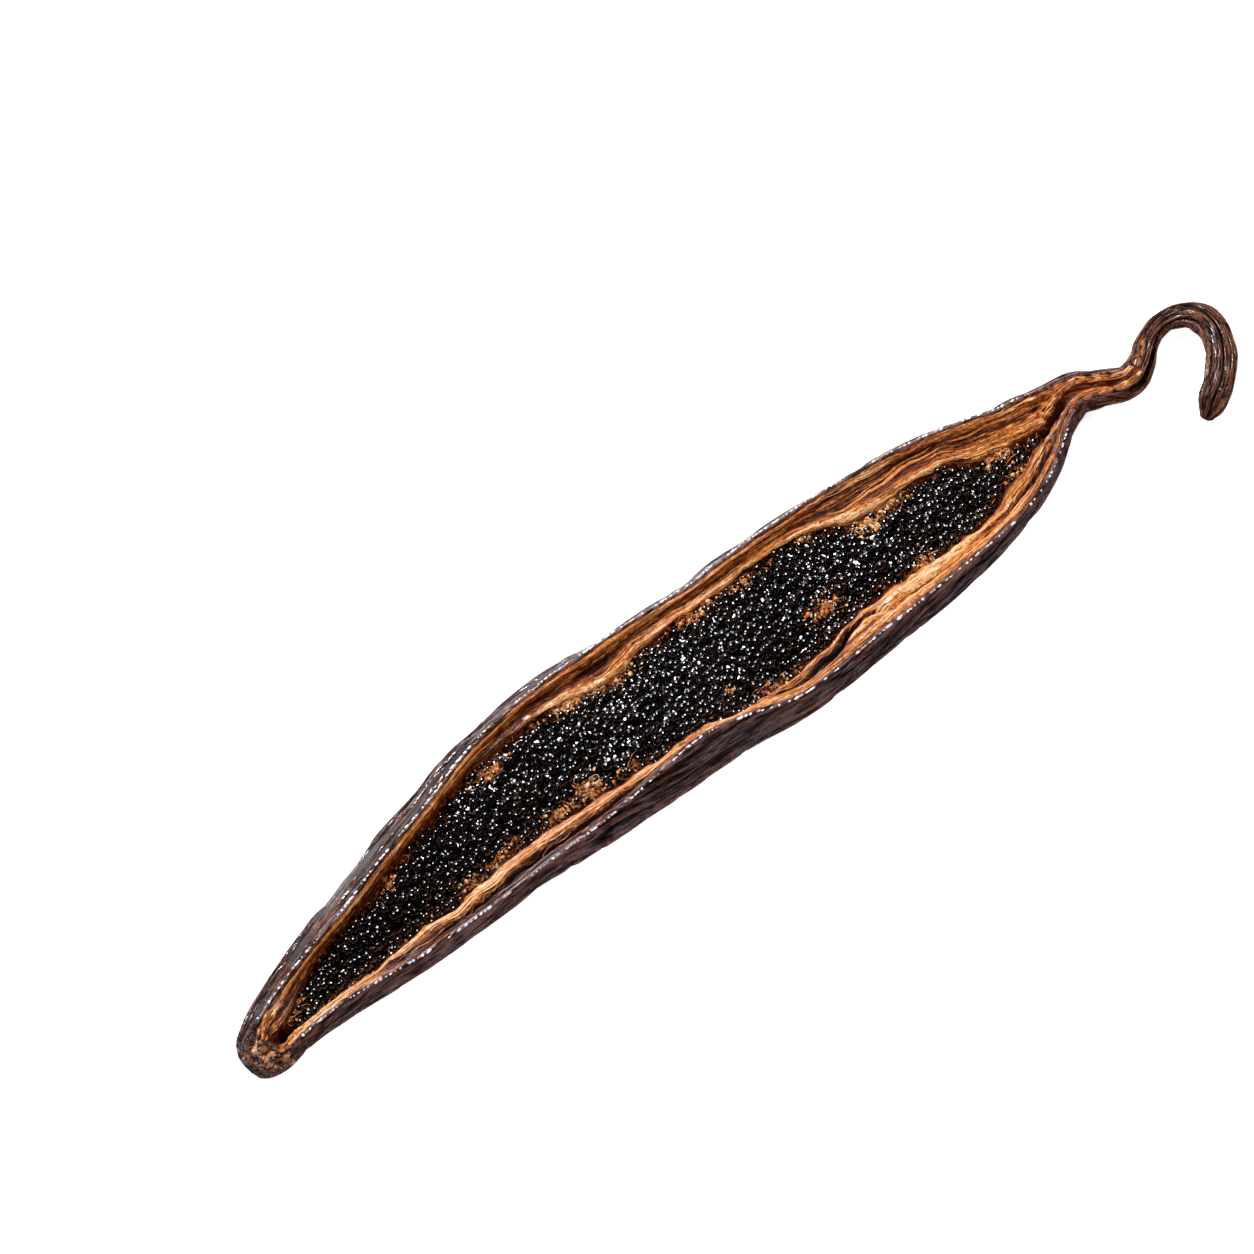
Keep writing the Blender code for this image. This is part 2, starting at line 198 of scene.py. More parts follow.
# Loose tan bits on the seeds: place along, share from the -Y to the +Y edge, reach along and
# across in mm, count of crumbs, and tone from dark red (0) to pale (1).
TUFTS = [
    (99.3, 0.88, 1.5, 1, 30, 0.85), (102.3, 1, 2.2, 0.9, 30, 0.6), (57, 1, 3, 0.8, 34, 0.75),
    (61.5, 1.05, 3.2, 0.9, 40, 0.85), (52.9, 0.12, 1.5, 1, 24, 0.7),
    (48.3, 0.08, 2.2, 0.7, 20, 0.65), (27, 0.83, 0.9, 0.5, 9, 0.5),
    (44.7, 0.86, 2.2, 0.8, 18, 0.45), (91.8, 0.93, 0.8, 0.6, 9, 0.55),
    (89, 0.26, 2.4, 1.2, 30, 0.5), (101.3, 0.05, 1.6, 0.6, 14, 0.55),
    (74.8, 0.95, 2.6, 0.8, 20, 0.5), (73.7, 0.22, 0.6, 0.4, 5, 0.6), (78, 0.04, 1.6, 0.6, 12, 0.5),
    (58.5, 0.08, 2.6, 0.7, 18, 0.5), (39.4, 0.06, 2.6, 0.8, 20, 0.4),
    (35.5, 0.08, 2.2, 0.7, 16, 0.4), (117.5, 1.03, 2.2, 0.8, 16, 0.7), (119, 0, 2.6, 0.8, 22, 0.55),
    (9, 0.95, 1.5, 0.6, 12, 0.5), (83, 0.92, 3, 0.6, 14, 0.55),
]

# Broad strips along the flanks: side, places from and to, shares of the flank from rim (0) to
# seeds (1) at both ends, half width in mm, and tone.
STRIPS = [
    (1, 95, 113.5, 0.62, 0.42, 0.26, 0.95), (1, 99, 112, 0.5, 0.3, 0.2, 0.85),
    (1, 112, 126, 0.34, 0.2, 0.2, 0.8), (1, 104, 121, 0.78, 0.6, 0.2, 0.7),
    (1, 62, 82, 0.75, 0.8, 0.2, 0.85), (1, 80, 98, 0.72, 0.66, 0.2, 0.9),
    (1, 9, 34, 0.31, 0.27, 0.22, 1), (1, 30, 54, 0.27, 0.16, 0.2, 1),
    (1, 6, 22, 0.4, 0.42, 0.14, 0.8), (1, 24, 46, 0.6, 0.62, 0.14, 0.5),
    (1, 50, 72, 0.12, 0.1, 0.2, 0.8), (1, 70, 94, 0.14, 0.12, 0.2, 0.8),
    (-1, 8, 24, 0.6, 0.6, 0.2, 0.9), (-1, 20, 42, 0.62, 0.58, 0.22, 0.95),
    (-1, 38, 58, 0.6, 0.6, 0.2, 0.9), (-1, 56, 78, 0.5, 0.4, 0.22, 1),
    (-1, 78, 92, 0.88, 0.9, 0.13, 0.95), (-1, 104, 122, 0.4, 0.3, 0.2, 0.9),
    (-1, 92, 112, 0.18, 0.14, 0.16, 0.85), (1, 124, 136, 0.6, 0.5, 0.2, 0.85),
    (-1, 126, 138, 0.45, 0.4, 0.18, 0.7),
]

# Seeds
SEED_SIZE = 1.12
BED_STEP = 0.15
BED_POINTS = 78
SEED_CROWN = 0.8
FULL_CROWN_WIDTH = 9.0
SEED_SUNK = 0.1
EDGE_TUCK = 0.5

# Small shapes: how many kinds, how lumpy, how many waves over each, and how fine its mesh.
SEED_LUMPS, BEAD_LUMPS = (8, 0.2, 1.2, 2), (6, 0.2, 1.2, 2)
FLAKE_LUMPS, CRUMB_LUMPS = (12, 0.65, 1.9, 2), (12, 0.6, 1.9, 1)
# Least and most length of a small shape each way.
SQUASH = [(0.95, 1.15), (0.85, 1), (0.72, 0.9)]

# The crumbs of a tuft for each one that its row names
TUFT_CROWD = 7
TORN_POINTS, LONG_POINTS = 8, 15
BEADS_FROM, BEADS_TO = 6.0, 126.0

# ---------------------------------------------------------------- the stage, in m and degrees

FLOOR_REACH = 6.0
POD_MIDDLE = np.array([0.0, 0.0, 0.006])
LIGHT_COLOUR = (0.985, 0.97, 1.0)
# Lights: how far to the right, ahead and up of the pod, size, which power, and whether mirrored.
WINDOWS = [
    ("key_window", (-0.42, 0.45, 0.85), (0.4, 0.34), "key_power", True),
    ("back_window", (-0.42, 0.84, 0.22), (0.9, 0.34), "back_power", True),
    ("side_window", (0.7, 0.25, 0.75), (0.2, 0.2), "fill_power", False),
    ("front_window", (-0.3, -0.7, 0.75), (0.2, 0.2), "fill_power", False),
]
# The air glows less the higher one looks: the heights it fades between, and its glow at each.
AIR_HEIGHTS, AIR_GLOW = (0.1, 0.75), (0.03, 0.005)
CAMERA_TURN, CAMERA_TILT = -40.3, 20.0
CAMERA_LENS = 1000.0
# The point that the camera looks at, in the tables' own mm.
CAMERA_AIM = (70.5, 12.2, 6.0)


def along(table, places):
    """Read a table at many places, with a smooth cubic between its entries."""
    keys, values = np.array(table, float).T
    rises = np.diff(values) / np.diff(keys)
    before = np.concatenate([rises[:1], rises])
    after = np.concatenate([rises, rises[-1:]])
    same_way = before * after > 0
    slopes = np.where(same_way, 2 * before * after / np.where(same_way, before + after, 1.0), 0.0)
    places = np.clip(np.asarray(places, float), keys[0], keys[-1])
    left = np.clip(np.searchsorted(keys, places, side="right") - 1, 0, len(keys) - 2)
    width = keys[left + 1] - keys[left]
    t = (places - keys[left]) / width
    return (
        (2 * t**3 - 3 * t**2 + 1) * values[left]
        + (t**3 - 2 * t**2 + t) * width * slopes[left]
        + (3 * t**2 - 2 * t**3) * values[left + 1]
        + (t**3 - t**2) * width * slopes[left + 1]
    )


def smooth(value, low, high):
    """0 below low, 1 above high, and a smooth step between."""
    t = np.clip((value - low) / (high - low), 0.0, 1.0)
    return t * t * (3 - 2 * t)


def bump(value, middle, width):
    """A round bump of height 1 about a middle."""
    return np.exp(-((value - middle) / width) ** 2)


class Grain:
    """Seeded gradient noise in space: smooth, about -1 to 1, one wave for each unit."""

    TABLE = 256

    def __init__(self, seed):
        draw = np.random.default_rng(seed)
        self.order = draw.permutation(self.TABLE)
        slopes = draw.normal(size=(self.TABLE, 3))
        self.slopes = slopes / np.linalg.norm(slopes, axis=1)[:, None]

    def __call__(self, x, y, z=0.0):
        x, y, z = np.broadcast_arrays(*(np.asarray(c, float) for c in (x, y, z)))
        cells = [np.floor(c).astype(int) for c in (x, y, z)]
        inside = [c - cell for c, cell in zip((x, y, z), cells)]
        fade = [t**3 * (t * (6 * t - 15) + 10) for t in inside]
        last = self.TABLE - 1
        total = np.zeros(x.shape)
        for i in (0, 1):
            first = self.order[(cells[0] + i) & last]
            for j in (0, 1):
                second = self.order[(first + cells[1] + j) & last]
                for k in (0, 1):
                    slope = self.slopes[self.order[(second + cells[2] + k) & last]]
                    value = (slope[..., 0] * (inside[0] - i) + slope[..., 1] * (inside[1] - j)
                             + slope[..., 2] * (inside[2] - k))
                    weight = ((fade[0] if i else 1 - fade[0]) * (fade[1] if j else 1 - fade[1])
                              * (fade[2] if k else 1 - fade[2]))
                    total += weight * value
        return 1.6 * total


class Centreline:
    """The pod's centreline seen from above, as a smooth curve measured by its own length."""

    def __init__(self, points, fineness=24):
        corners = np.array(points, float)
        ends = 2 * corners[0] - corners[1], 2 * corners[-1] - corners[-2]
        padded = np.vstack([ends[0], corners, ends[1]])
        t = (np.arange(fineness) / fineness)[:, None]
        dense = []
        for a, b, c, d in zip(padded, padded[1:], padded[2:], padded[3:]):
            dense.append(0.5 * (2 * b + (c - a) * t + (2 * a - 5 * b + 4 * c - d) * t**2
                                + (3 * b - a - 3 * c + d) * t**3))
        self.points = np.vstack(dense + [corners[-1:]])
        steps = np.linalg.norm(np.diff(self.points, axis=0), axis=1)
        self.lengths = np.concatenate([[0.0], np.cumsum(steps)])

    def _inside(self, places):
        places = np.clip(places, 0.0, self.lengths[-1])
        return np.stack([np.interp(places, self.lengths, c) for c in self.points.T], axis=-1)

    def heading(self, places, reach=0.6):
        """Unit direction of the line at each place."""
        middle = np.clip(places, 0.0, self.lengths[-1])
        step = self._inside(middle + reach) - self._inside(middle - reach)
        return step / np.linalg.norm(step, axis=-1, keepdims=True)

    def at(self, places):
        """The points at places along the line, followed straight on past either end."""
        inside = np.clip(places, 0.0, self.lengths[-1])
        return self._inside(inside) + (places - inside)[..., None] * self.heading(inside)


class Sections:
    """Cross-sections of the pod at many places, one row each."""

    def __init__(self, places):
        self.places = np.asarray(places, float)[:, None]
        self.half = along(HALF_WIDTH, self.places)
        self.rise = self.half * along(ROUNDNESS, self.places)
        self.floor = along(LIFT, self.places)
        self.middle = self.floor + self.rise
        self.left = np.radians(along(RIM_LEFT, self.places))
        self.right = np.radians(along(RIM_RIGHT, self.places))
        self.hollow = along(HOLLOW, self.places)

    def on_husk(self, angle, inset=0.0):
        """Points at angles from the top towards +Y, inset from the outside of the skin."""
        return ((self.half - inset) * np.sin(angle),
                self.middle + (self.rise - inset) * np.cos(angle))

    def outward(self, angle):
        """The outward direction of the skin at angles from the top."""
        u, v = np.sin(angle) * self.rise, np.cos(angle) * self.half
        size = np.hypot(u, v)
        return u / size, v / size


LINE = Centreline(BODY_LINE + STEM_LINE)


def in_space(places, u, v):
    """Points of sections turned into points of space in mm, square to the centreline."""
    places, u, v = np.broadcast_arrays(places, u, v)
    points, ahead = LINE.at(places), LINE.heading(places)
    return np.stack([points[..., 0] - u * ahead[..., 1],
                     points[..., 1] + u * ahead[..., 0], v], axis=-1)


def frame_shift():
    """How far the pod's tables lie from the frame, from the box of the plain skin."""
    cut = Sections(np.linspace(POD_START, POD_END, 600))
    angle = np.linspace(-math.pi, math.pi, 90)
    u, v = cut.on_husk(angle)
    points = in_space(cut.places, u, v)
    middle = 0.5 * (points.min(axis=(0, 1)) + points.max(axis=(0, 1)))
    low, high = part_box("husk")
    return middle[:2] - 0.5 * (np.array(low[:2]) + np.array(high[:2])) / MM


SHIFT = frame_shift()


# ---------------------------------------------------------------- meshes


def solid(name, points, faces, material, values=()):
    """A smooth-shaded object from points and faces, with values kept at its points."""
    data = bpy.data.meshes.new(name)
    data.from_pydata(points.tolist(), [], faces)
    for key, value in dict(values).items():
        kind = "FLOAT_VECTOR" if value.ndim == 2 else "FLOAT"
        layer = data.attributes.new(key, kind, "POINT")
        field = "vector" if value.ndim == 2 else "value"
        layer.data.foreach_set(field, value.astype(np.float32).ravel())
    data.validate()
    data.shade_smooth()
    data.materials.append(material)
    made = bpy.data.objects.new(name, data)
    bpy.context.scene.collection.objects.link(made)
    return made


def shell(name, rings, material, values):
    """A closed body through rings of equal count, with a fan over each end."""
    count, around = rings.shape[:2]
    index = np.arange(count * around).reshape(count, around)
    turned = np.roll(index, -1, axis=1)
    quads = np.stack([index[:-1], turned[:-1], turned[1:], index[1:]], axis=-1)
    faces = quads.reshape(-1, 4).tolist()
    first, last = count * around, count * around + 1
    faces += [(first, b, a) for a, b in zip(index[0].tolist(), turned[0].tolist())]
    faces += [(last, a, b) for a, b in zip(index[-1].tolist(), turned[-1].tolist())]
    points = np.vstack([rings.reshape(-1, 3), rings[0].mean(axis=0), rings[-1].mean(axis=0)])
    kept = {}
    for key, value in values.items():
        ends = [value[0].mean(axis=0), value[-1].mean(axis=0)]
        flat = value.reshape((count * around,) + value.shape[2:])
        kept[key] = np.concatenate([flat, np.stack(ends)])
    return solid(name, points, faces, material, kept)


def scatter(name, kinds, points, axes, values, material):
    """Many copies of a few small shapes joined into one object."""
    corners, faces, kept, start = [], [], {key: [] for key in values}, 0
    for i, (place, axis) in enumerate(zip(points, axes)):
        shape, sides = kinds[i % len(kinds)]
        corners.append(shape @ axis + place)
        faces.append(sides + start)
        for key in kept:
            kept[key].append(np.full(len(shape), values[key][i]))
        start += len(shape)
    kept = {key: np.concatenate(value) for key, value in kept.items()}
    return solid(name, np.vstack(corners), np.vstack(faces).tolist(), material, kept)


def ball(subdivisions):
    """Points and triangles of a round ball of radius 1."""
    mesh = bmesh.new()
    bmesh.ops.create_icosphere(mesh, subdivisions=subdivisions, radius=1.0)
    points = np.array([v.co[:] for v in mesh.verts])
    faces = np.array([[v.index for v in f.verts] for f in mesh.faces])
    mesh.free()
    return points, faces


def turns(draw, count):
    """Random rotations, one 3 by 3 matrix each."""
    q = draw.normal(size=(count, 4))
    w, x, y, z = (q / np.linalg.norm(q, axis=1)[:, None]).T
    rows = [
        [1 - 2 * (y * y + z * z), 2 * (x * y - z * w), 2 * (x * z + y * w)],
        [2 * (x * y + z * w), 1 - 2 * (x * x + z * z), 2 * (y * z - x * w)],
        [2 * (x * z - y * w), 2 * (y * z + x * w), 1 - 2 * (x * x + y * y)],
    ]
    return np.array(rows).transpose(2, 0, 1)


def strands(name, paths, widths, material, values, sides=5):
    """Tapered strands along paths, all with the same number of points, as one object."""
    paths, widths = np.asarray(paths), np.asarray(widths)
    count, steps = paths.shape[:2]
    ahead = np.gradient(paths, axis=1)
    ahead /= np.linalg.norm(ahead, axis=2, keepdims=True)
    across = np.cross(ahead, (0.0, 0.0, 1.0))
    across /= np.maximum(np.linalg.norm(across, axis=2, keepdims=True), 1e-9)
    up = np.cross(across, ahead)
    turn = np.linspace(0.0, 2 * math.pi, sides, endpoint=False)
    wide, high = widths[..., 0], widths[..., 1]
    rings = (paths[:, :, None] + (wide[..., None] * np.cos(turn))[..., None] * across[:, :, None]
             + (high[..., None] * np.sin(turn))[..., None] * up[:, :, None])
    index = np.arange(steps * sides).reshape(steps, sides)
    turned = np.roll(index, -1, axis=1)
    quads = np.stack([index[:-1], index[1:], turned[1:], turned[:-1]], axis=-1).reshape(-1, 4)
    faces = []
    for i in range(count):
        start = i * steps * sides
        faces += (quads + start).tolist()
        faces.append((index[0] + start).tolist())
        faces.append((index[-1][::-1] + start).tolist())
    kept = {key: np.repeat(value, steps * sides) for key, value in values.items()}
    return solid(name, rings.reshape(-1, 3), faces, material, kept)


# ---------------------------------------------------------------- finishes


def linear(red, green, blue):
    """A display colour of 0 to 255 as the linear colour that shaders use."""
    return tuple(
        c / 12.92 if c <= 0.04045 else ((c + 0.055) / 1.055) ** 2.4
        for c in (red / 255, green / 255, blue / 255)
    )


class Wire:
    """One socket of a shader; arithmetic on it adds Math nodes."""

    def __init__(self, nodes, socket):
        self.nodes = nodes
        self.socket = socket

    def _math(self, operation, *values):
        return self.nodes.node("ShaderNodeMath", {"operation": operation}, dict(enumerate(values)))

    def __add__(self, other):
        return self._math("ADD", self, other)

    __radd__ = __add__

    def __sub__(self, other):
        return self._math("SUBTRACT", self, other)

    def __rsub__(self, other):
        return self._math("SUBTRACT", other, self)

    def __mul__(self, other):
        return self._math("MULTIPLY", self, other)

    __rmul__ = __mul__

    def clamped(self):
        """The value held between 0 and 1."""
        return self._math("MINIMUM", self._math("MAXIMUM", self, 0.0), 1.0)

    def apart(self, other):
        """How far the value lies from another."""
        return self._math("ABSOLUTE", self - other)


class Nodes:
    """A node tree while its nodes are made."""

    def __init__(self, owner, surface):
        owner.use_nodes = True
        self.tree = owner.node_tree
        self.surface = self.tree.nodes[surface]

    def node(self, kind, settings=None, sockets=None, output=0):
        """Add a node: its settings first, then the values or links of its sockets."""
        made = self.tree.nodes.new(kind)
        for key, value in (settings or {}).items():
            setattr(made, key, value)
        usable = [socket for socket in made.inputs if socket.enabled]
        for key, value in (sockets or {}).items():
            socket = usable[key] if isinstance(key, int) else made.inputs[key]
            self.put(socket, value)
        found = [socket for socket in made.outputs if socket.enabled]
        return Wire(self, found[output] if isinstance(output, int) else made.outputs[output])

    def put(self, socket, value):
        """Set a socket to a value or link a wire to it."""
        if isinstance(value, Wire):
            self.tree.links.new(value.socket, socket)
        elif socket.type == "RGBA":
            socket.default_value = (*value[:3], 1.0)
        else:
            socket.default_value = value

    def step(self, value, low, high, start=0.0, end=1.0):
        """A smooth step, from a start value at low to an end value at high."""
        return self.node("ShaderNodeMapRange", {"interpolation_type": "SMOOTHSTEP"},
                         {0: value, 1: low, 2: high, 3: start, 4: end})


class Finish(Nodes):
    """A procedural finish while its nodes are made."""

    def __init__(self, name):
        self.material = bpy.data.materials.new(name)
        super().__init__(self.material, "Principled BSDF")

    def shader(self, **values):
        """Set or link sockets of the shader; underscores stand for spaces."""
        for key, value in values.items():
            self.put(self.surface.inputs[key.replace("_", " ")], value)

    def value(self, name):
        """A value kept at the mesh's points."""
        return self.node("ShaderNodeAttribute", {"attribute_name": name}, output="Fac")

    def vector(self, name):
        """A vector kept at the mesh's points."""
        return self.node("ShaderNodeAttribute", {"attribute_name": name}, output="Vector")

    def where(self):
        """The place on the object itself, in metres."""
        return self.node("ShaderNodeTexCoord", output="Object")

    def stretched(self, place, factors):
        """A place scaled by different factors each way."""
        return self.node("ShaderNodeVectorMath", {"operation": "MULTIPLY"}, {0: place, 1: factors})

    def noise(self, place, scale, detail=2.0, roughness=0.5, distortion=0.0):
        """Soft noise of about 0.25 to 0.75."""
        sockets = {"Vector": place, "Scale": scale, "Detail": detail, "Roughness": roughness,
                   "Distortion": distortion}
        return self.node("ShaderNodeTexNoise", sockets=sockets)

    def streaks(self, place, factors, detail=2.0, roughness=0.5, distortion=0.0):
        """Noise on a place that is scaled by different factors each way."""
        return self.noise(self.stretched(place, factors), 1.0, detail, roughness, distortion)

    def pebbles(self, place):
        """Distance to the nearest of many scattered points."""
        return self.node("ShaderNodeTexVoronoi", {"feature": "F1"}, {"Vector": place, "Scale": 1.0})

    def blend(self, factor, near, far):
        """A colour between two colours."""
        return self.node("ShaderNodeMix", {"data_type": "RGBA"}, {0: factor, 1: near, 2: far})

    def ramp(self, value, stops):
        """A colour read from a ramp of places and colours."""
        made = self.node("ShaderNodeValToRGB", sockets={0: value})
        ramp = made.socket.node.color_ramp
        while len(ramp.elements) < len(stops):
            ramp.elements.new(0.5)
        for element, (place, colour) in zip(ramp.elements, stops):
            element.position = place
            element.color = (*colour, 1.0)
        return made

    def relief(self, height, distance):
        """Fine relief of a height in parts of a distance in metres."""
        sockets = {"Height": height, "Distance": distance, "Strength": 1.0}
        self.shader(Normal=self.node("ShaderNodeBump", sockets=sockets))


# How far red, green and blue light go inside the flesh and its shreds.
FLESH_GLOW = {"Subsurface_Radius": (0.9, 0.4, 0.15), "Subsurface_Scale": 0.4 * MM}


def skin_finish(colours):
    """Dark leathery skin: rust-brown crests, painted sheen on wrinkle tops, painted shade in valleys
    and cracks.
    """
    finish = Finish("husk_skin_leather")
    place = finish.vector("skin_place")
    valley, crest, scar, inner, stem = (
        finish.value(name) for name in ("valley", "crest", "scar", "inner", "stem"))
    wrinkles = finish.streaks(place, (0.24, 2.5, 2.5), 4.0, 0.62, 0.35)
    cracks = finish.streaks(place, (0.6, 3.4, 3.4), 3.0, 0.6, 0.4)
    patches = finish.streaks(place, (0.06, 0.35, 0.35))
    threads = finish.streaks(place, (0.1, 1.3, 1.3), 3.0, 0.55, 0.4)
    speck = finish.streaks(place, (2.5, 4.0, 4.0))
    pebble = finish.pebbles(finish.stretched(place, (1.6, 2.6, 2.6)))
    ridge = (1 - 9.0 * threads.apart(0.5)).clamped()
    scar_tone = finish.ramp(finish.streaks(place, (0.9, 1.1, 1.1), 4.0, 0.65), [
        (0.36, colours.valley_shade), (0.47, colours.scar_brown), (0.56, colours.scar_tan),
        (0.68, colours.flesh_bright)])
    rust = (crest * finish.step(speck, 0.35, 0.6) * (1.1 + 0.6 * stem)).clamped()
    lined = ridge * (0.16 * finish.step(patches, 0.5, 0.68)
                     + 0.9 * stem * finish.step(speck, 0.42, 0.58))
    colour = finish.blend(finish.step(patches, 0.38, 0.62), colours.skin_dark, colours.skin_warm)
    layers = [
        # Painted sheen: the raised tops of the wrinkles turn light grey.
        (0.8 * finish.step(wrinkles, 0.44, 0.6), colours.skin_sheen),
        (0.6 * stem * finish.step(wrinkles, 0.4, 0.6), colours.skin_stem),
        (0.85 * rust, colours.skin_rust),
        # Painted shade: the lows of the wrinkles turn near black.
        (0.8 * finish.step(wrinkles, 0.47, 0.42), colours.valley_shade),
        (lined.clamped(), colours.skin_rust),
        (0.8 * (stem * finish.step(cracks, 0.56, 0.68)), colours.scar_tan),
        # Painted shade: the cracks and the fold valleys turn near black.
        ((0.7 + 0.25 * stem) * finish.step(cracks, 0.46, 0.41), colours.valley_shade),
        ((1.2 * valley).clamped(), colours.valley_shade),
        (scar, scar_tone),
        (inner, colours.flesh_dark),
    ]
    for share, over in layers:
        colour = finish.blend(share, colour, over)
    shine = finish.step(speck, 0.4, 0.56) * finish.step(wrinkles, 0.46, 0.54) * (1 - valley)
    finish.shader(Base_Color=colour, Coat_Weight=shine.clamped(),
                  Roughness=(0.2 + 0.2 * speck + 0.35 * valley + 0.25 * scar).clamped(),
                  Coat_Roughness=0.1, Coat_IOR=1.7, IOR=1.45, Specular_IOR_Level=0.12)
    height = (1.2 * wrinkles + 0.35 * (1 - pebble).clamped() + 0.4 * ridge
              + 0.5 * speck + (0.7 + 0.7 * stem) * cracks)
    finish.relief(height, 0.45 * MM)
    return finish.material


def flesh_finish(colours):
    """Soft fibrous flesh, tan on its crests and brown in its hollows, partly as painted light and
    shade.
    """
    finish = Finish("flesh_fibrous")
    place, tone, red = finish.vector("flesh_place"), finish.value("tone"), finish.value("red")
    deep = finish.value("deep")
    fibres = finish.streaks(place, (0.16, 3.2, 3.2), 4.0, 0.6, 0.25)
    flecks = finish.streaks(place, (0.9, 2.2, 2.2), 3.0, 0.6)
    clouds = finish.streaks(place, (0.2, 0.6, 0.6))
    grit = finish.streaks(place, (2.6, 4.2, 4.2), 2.0, 0.55)
    shade = tone + 2.2 * (fibres - 0.5) + 1.2 * (flecks - 0.5) + 0.5 * (clouds - 0.5)
    colour = finish.ramp(shade, [
        (0.05, colours.flesh_dark), (0.32, colours.flesh_brown), (0.56, colours.flesh_tan),
        (0.78, colours.flesh_bright), (1.0, colours.flesh_pale)])
    colour = finish.blend((red * (0.5 + flecks)).clamped(), colour, colours.flesh_red)
    colour = finish.blend(0.7 * finish.step(grit, 0.5, 0.38), colour, colours.flesh_dark)
    # Painted shade: the slit, the pocket and the blunt end's pit turn near black.
    colour = finish.blend(deep, colour, colours.deep_shade)
    shine = 0.8 * finish.step(clouds, 0.42, 0.6) * finish.step(shade, 0.25, 0.6)
    finish.shader(Base_Color=colour, Roughness=0.3 + 0.3 * flecks + 0.4 * deep,
                  Coat_Weight=shine * (1 - deep), Coat_Roughness=0.15, Specular_IOR_Level=0.3,
                  Subsurface_Weight=0.06, **FLESH_GLOW)
    finish.relief(1.2 * fibres + 0.6 * flecks + 0.8 * grit, 0.3 * MM)
    return finish.material


def seed_finish(colours):
    """Glossy black seeds."""
    finish = Finish("seed_gloss")
    place = finish.where()
    speck = finish.noise(place, 1800.0)
    brown = (finish.value("brown") * finish.step(speck, 0.4, 0.6)).clamped()
    finish.shader(Base_Color=finish.blend(brown, colours.seed_black, colours.seed_brown),
                  Roughness=0.1 + 0.08 * speck, Coat_Weight=1.0, Coat_Roughness=0.07,
                  Coat_IOR=1.9, Specular_IOR_Level=0.25)
    finish.relief(finish.noise(place, 2500.0, 1.0), 0.075 * MM)
    return finish.material


def shred_finish(name, stops):
    """Torn fibres and crumbs, thin enough to glow a little."""
    made = bpy.data.materials.get(name)
    if made:
        return made
    finish = Finish(name)
    speck = finish.noise(finish.where(), 1700.0, 3.0)
    finish.shader(Base_Color=finish.ramp(finish.value("tone") + 0.9 * (speck - 0.5), stops),
                  Roughness=0.3 + 0.25 * speck, Coat_Weight=0.7, Coat_Roughness=0.12,
                  Subsurface_Weight=0.1, **FLESH_GLOW)
    finish.relief(speck, 0.2 * MM)
    return finish.material


def flesh_shreds(colours):
    """Finish of the bits of flesh: red-brown to pale."""
    return shred_finish("torn_fibres", [
        (0.0, colours.flesh_dark), (0.3, colours.flesh_red), (0.6, colours.flesh_tan),
        (0.85, colours.flesh_bright), (1.0, colours.flesh_pale)])


def scar_shreds(colours):
    """Finish of the grains on the scar: brown to a dusty pale pink."""
    return shred_finish("scar_grains", [
        (0.1, colours.flesh_dark), (0.35, colours.scar_brown), (0.6, colours.scar_tan),
        (0.95, colours.scar_pale)])


def bead_finish(colours):
    """Shiny dried beads along the cut rims, with near-white patches of painted glint."""
    finish = Finish("rim_bead_resin")
    speck = finish.noise(finish.where(), 900.0)
    # Painted glint: patches of the beads turn near white.
    colour = finish.blend(finish.step(speck, 0.35, 0.6), colours.skin_rust, colours.bead)
    finish.shader(Base_Color=colour, Roughness=0.12 + 0.1 * speck, Coat_Weight=1.0,
                  Coat_Roughness=0.06, Coat_IOR=1.8)
    finish.relief(speck, 0.05 * MM)
    return finish.material


# ---------------------------------------------------------------- skin

FOLD_SWAY, FOLD_BROAD, FOLD_MIDDLE, FOLD_FINE = Grain(11), Grain(12), Grain(13), Grain(14)
SKIN_LUMPS, SCAR_GRAIN, RIM_WANDER = Grain(15), Grain(16), Grain(17)


def rolled(place, angle, sideways=0.0):
    """A place on the skin, as if the pod were an even roller."""
    turned = angle + sideways / ROLL
    return place, ROLL * np.sin(turned), ROLL * np.cos(turned)


def furrow(grain, width):
    """1 along the zero lines of a grain, and 0 further off than a width."""
    return 1 - smooth(np.abs(grain), 0.0, width)


def skin_folds(place, angle, strength):
    """Depth of the skin's folds in mm at full size, with masks of valleys and crests."""
    x, y, z = rolled(place, angle)
    sideways = 2.4 * FOLD_SWAY(x / 26, y / 26, z / 26) + 0.5 * FOLD_SWAY(x / 8 + 9, y / 16, z / 16)
    x, y, z = rolled(place, angle, sideways)
    broad = FOLD_BROAD(x / 36, y / 2.7, z / 2.7)
    middle = FOLD_MIDDLE(x / 14, y / 1.25, z / 1.25)
    fine = FOLD_FINE(x / 7, y / 0.66, z / 0.66)
    deep = furrow(broad, 0.3)
    depth = (0.85 * strength * deep + (0.25 + 0.25 * strength) * furrow(middle, 0.3)
             + 0.2 * furrow(fine, 0.35) + 0.22 * strength * (SKIN_LUMPS(x / 9, y / 4, z / 4) + 0.6))
    knobs = smooth(place, 124.0, 136.0) * SKIN_LUMPS(x / 2.2 + 3, y / 2.8, z / 2.8)
    depth = depth - 0.4 * knobs
    valley = np.clip(strength * smooth(deep, 0.35, 0.95) + 0.7 * furrow(middle, 0.2)
                     + 0.4 * furrow(fine, 0.18), 0.0, 1.0)
    lip = (bump(np.abs(broad), 0.36, 0.07) + 0.6 * bump(np.abs(middle), 0.4, 0.1)
           + smooth(knobs, 0.15, 0.45))
    broken = smooth(SKIN_LUMPS(x / 7 + 5, y / 1.5, z / 1.5), -0.2, 0.35)
    return depth, valley, np.clip(lip * broken, 0.0, 1.0), np.stack([x + 0 * y, y, z], axis=-1)


